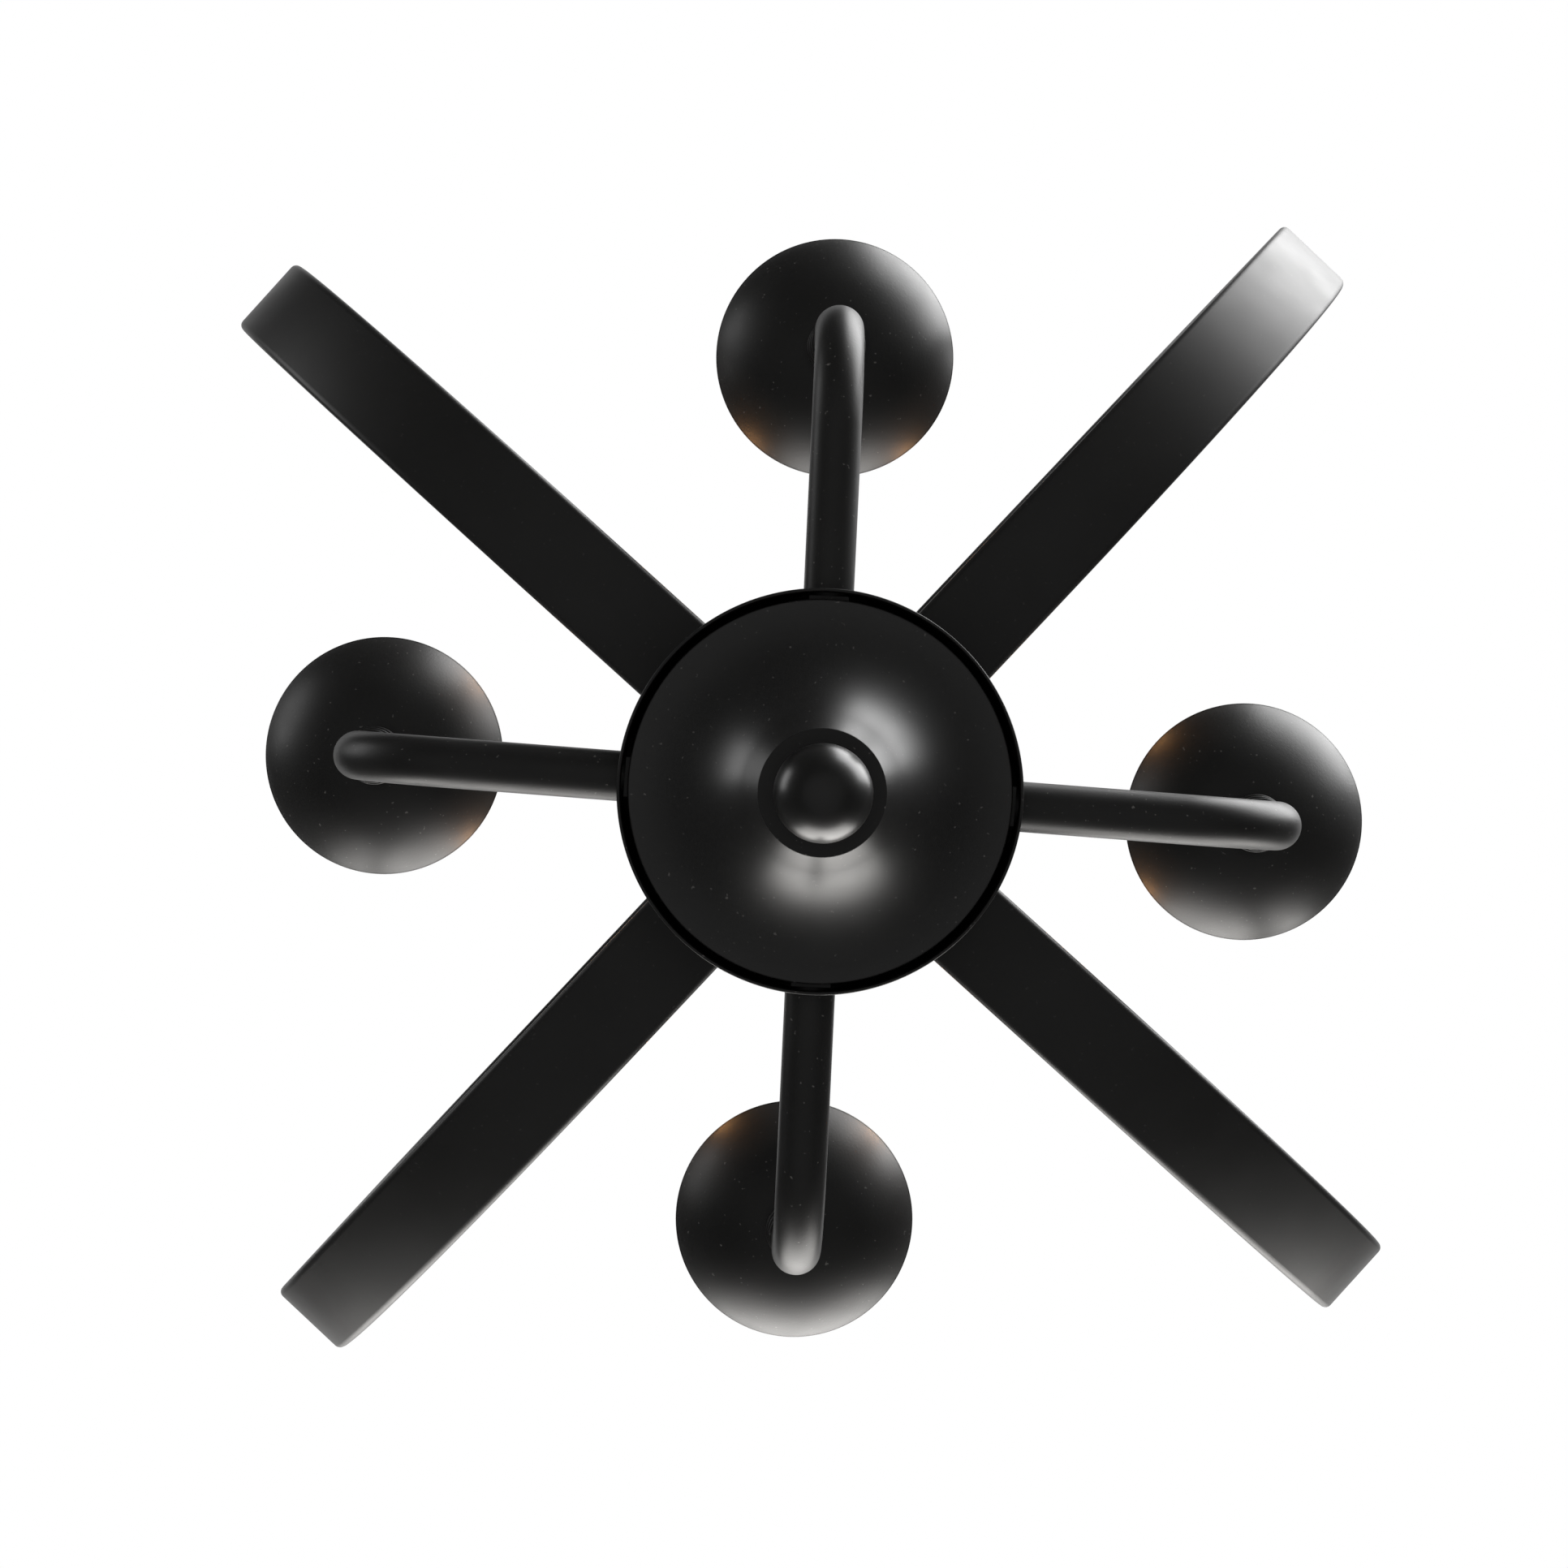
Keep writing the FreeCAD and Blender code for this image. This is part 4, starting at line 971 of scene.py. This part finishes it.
def cap_nut():
    """Domed nut with a blind bore for its stud."""
    skirt_end = CANOPY_BOTTOM - CAP_NUT_SKIRT
    bore_end = CANOPY_BOTTOM - STUD_DEPTH
    return (Outline(0, skirt_end - CAP_NUT_RADIUS)
            .arc(CAP_NUT_RADIUS, skirt_end, (0, skirt_end), steps=16)
            .line(CAP_NUT_RADIUS, CANOPY_BOTTOM, EDGE_BREAK)
            .line(STUD_RADIUS, CANOPY_BOTTOM)
            .line(STUD_RADIUS, bore_end)
            .line(0, bore_end)
            .turned("cap_nut_pair", steps=48))


def make_suspension():
    dress(hub(), HANGING, "top_hub", coat)
    lower_stem = stem("lower_stem_tube", LONG_STEM_BOTTOM, LONG_STEM_TOP)
    dress(lower_stem, HANGING, "long_stem", coat)
    upper_stem = stem("upper_stem_tube", SHORT_STEM_BOTTOM, SHORT_STEM_TOP)
    dress(upper_stem, HANGING, "short_stem", coat)
    dress(coupler(), HANGING, "stem_coupler", coat)
    dress(ball_and_shank(), HANGING, "swivel_ball", gloss_coat)
    dress(seat(), MOUNTED, "swivel_seat", coat)
    dress(canopy(), MOUNTED, "canopy", coat)
    cap_nuts = placed(cap_nut(), STUD_REACH, STUD_TURNS)
    dress(cap_nuts, MOUNTED, "canopy_cap_nuts", gloss_coat)


def dress_frame():
    """Materials for the CAD nodes that stay as they are."""
    finishes = {"zinc_steel": zinc_plate, "green_screw": green_paint, "holder_plastic": phenolic,
                "block_plastic": ivory, "base_metal": nickel_plate, "black_metal": coat}
    for subpart in frame["record"]["subparts"]:
        material = finishes.get(subpart["material_slot"])
        if material:
            for slot in frame["nodes"][subpart["node"]].material_slots:
                slot.material = material


# Studio. Floor, cloths and softboxes are in metres, and the glow in the bulbs in millimetres.

FLOOR_HEIGHT = -3.1
FLOOR_SIZE = 60.0
CURTAIN_RADIUS = 2.3
CURTAIN_TOP = 2.0
CURTAIN_SIDES = 48
CLOTH_LIFT = 0.01
GRID_SPREAD = math.radians(120)
NEUTRAL = (1.0, 1.0, 1.0)
SLIGHTLY_WARM = (1.0, 0.98, 0.95)
GLOW_WARM = (1.0, 0.48, 0.17)
GLOW_POWER = 0.25
GLOW_RADIUS = 9.0
GLOW_HEIGHT = GLASS_BOTTOM + 36


def matt(name, scale, dark, light, roughness):
    """Matt surface with a faint cloud."""
    material, nodes, links, shader = new_material(name)
    cloud = pattern(nodes, links, scale, detail=3.0)
    links.new(mixed(nodes, links, cloud, dark, light), shader.inputs["Base Color"])
    shader.inputs["Roughness"].default_value = roughness
    return material


def floor():
    """Pale floor far below the light."""
    mesh = bmesh.new()
    bmesh.ops.create_grid(mesh, x_segments=1, y_segments=1, size=FLOOR_SIZE,
                          matrix=Matrix.Translation((0, 0, FLOOR_HEIGHT)))
    piece = finished(mesh, "floor")
    paint = matt("pale_floor", scale=1.5, dark=(0.69, 0.69, 0.68), light=(0.71, 0.71, 0.70), roughness=0.8)
    piece.data.materials.append(paint)


def hung_cloth(name, mesh, dark, light):
    """Cloth that only reflections see, so that the black coat keeps its deep tone."""
    piece = finished(mesh, name)
    piece.data.materials.append(matt(name + "_weave", scale=40.0, dark=dark, light=light, roughness=0.9))
    piece.visible_camera = False
    piece.visible_diffuse = False
    piece.visible_shadow = False
    piece.visible_transmission = False


def curtain():
    """Dark cloth round the set."""
    mesh = bmesh.new()
    bmesh.ops.create_cone(mesh, cap_ends=False, segments=CURTAIN_SIDES, radius1=CURTAIN_RADIUS,
                          radius2=CURTAIN_RADIUS, depth=CURTAIN_TOP - FLOOR_HEIGHT)
    bmesh.ops.translate(mesh, vec=(0, 0, (CURTAIN_TOP + FLOOR_HEIGHT) / 2), verts=mesh.verts)
    hung_cloth("curtain", mesh, dark=(0.05, 0.05, 0.05), light=(0.07, 0.07, 0.07))


def ground_cloth():
    """Grey cloth laid on the floor inside the curtain."""
    mesh = bmesh.new()
    bmesh.ops.create_circle(mesh, cap_ends=True, segments=CURTAIN_SIDES, radius=CURTAIN_RADIUS,
                            matrix=Matrix.Translation((0, 0, FLOOR_HEIGHT + CLOTH_LIFT)))
    hung_cloth("ground_cloth", mesh, dark=(0.16, 0.16, 0.16), light=(0.19, 0.19, 0.19))


def softbox(name, direction, elevation, distance, width, height, power, colour):
    """Area lamp at a direction round the cluster, facing it."""
    lamp = bpy.data.lights.new(name, "AREA")
    lamp.shape = "RECTANGLE"
    lamp.size = width
    lamp.size_y = height
    lamp.energy = power
    lamp.color = colour
    lamp.spread = GRID_SPREAD
    box = bpy.data.objects.new(name, lamp)
    turn, rise = math.radians(direction), math.radians(elevation)
    out = Vector((math.cos(turn) * math.cos(rise), math.sin(turn) * math.cos(rise), math.sin(rise)))
    box.location = spot(0, ARM_HEIGHT) + out * distance
    box.rotation_euler = out.to_track_quat("Z", "Y").to_euler()
    box.visible_camera = False
    bpy.context.scene.collection.objects.link(box)


def studio_lamps():
    softbox("right_box", direction=-44, elevation=27, distance=1.6, width=1.5, height=1.4, power=26,
            colour=NEUTRAL)
    softbox("near_box", direction=86, elevation=23, distance=1.6, width=2.1, height=1.4, power=31,
            colour=SLIGHTLY_WARM)
    softbox("left_box", direction=200, elevation=16, distance=1.8, width=0.9, height=0.6, power=2.4,
            colour=NEUTRAL)


def bulb_glow(cups):
    """Warm lamp inside each bulb that lights the cups alone."""
    lit = bpy.data.collections.new("cups_lit_by_the_bulbs")
    for piece in cups:
        lit.objects.link(piece)
    for number, turn in enumerate(ARM_TURNS, start=1):
        lamp = bpy.data.lights.new("bulb_glow_" + str(number), "POINT")
        lamp.shadow_soft_size = GLOW_RADIUS * MM
        lamp.energy = GLOW_POWER
        lamp.color = GLOW_WARM
        warm_spot = bpy.data.objects.new(lamp.name, lamp)
        warm_spot.location = Matrix.Rotation(math.radians(turn), 3, "Z") @ spot(ARM_REACH, GLOW_HEIGHT)
        warm_spot.light_linking.receiver_collection = lit
        warm_spot.visible_camera = False
        warm_spot.visible_transmission = False
        bpy.context.scene.collection.objects.link(warm_spot)


def sky():
    """Plain white room."""
    world = bpy.data.worlds.new("white_room")
    bpy.context.scene.world = world
    world.use_nodes = True
    background = world.node_tree.nodes["Background"]
    background.inputs["Color"].default_value = (*NEUTRAL, 1)
    background.inputs["Strength"].default_value = 1.0


# Camera. Its place is in millimetres, its tilts in degrees, its focal length in the photo's pixels
# and the nearest distance that it sees in metres.

PHOTO_PIXELS = 1932
FOCAL_PIXELS = 3671.0
SENSOR_WIDTH = 36.0
CAMERA_X = -13.1
CAMERA_Y = -6.95
CAMERA_DROP = 750.0
CAMERA_TILT_X = -0.39
CAMERA_TILT_Y = -0.32
NEAREST_SEEN = 0.02


def camera():
    """Straight below, looking up, with the image's right along +X and its foot along +Y."""
    lens = bpy.data.cameras.new("camera")
    lens.sensor_width = SENSOR_WIDTH
    lens.lens = SENSOR_WIDTH * FOCAL_PIXELS / PHOTO_PIXELS
    lens.clip_start = NEAREST_SEEN
    eye = bpy.data.objects.new("camera", lens)
    eye.rotation_mode = "QUATERNION"
    eye.rotation_quaternion = (Matrix.Rotation(math.radians(180), 3, "X")
                               @ Matrix.Rotation(math.radians(CAMERA_TILT_X), 3, "X")
                               @ Matrix.Rotation(math.radians(CAMERA_TILT_Y), 3, "Y")).to_quaternion()
    eye.location = Vector((CAMERA_X, CAMERA_Y, ARM_HEIGHT - CAMERA_DROP)) * MM
    bpy.context.scene.collection.objects.link(eye)
    bpy.context.scene.camera = eye


make_cage()
make_cluster()
bulb_glow(make_arms())
make_suspension()
dress_frame()
floor()
curtain()
ground_cloth()
studio_lamps()
sky()
camera()
bpy.context.scene.view_settings.view_transform = "Standard"
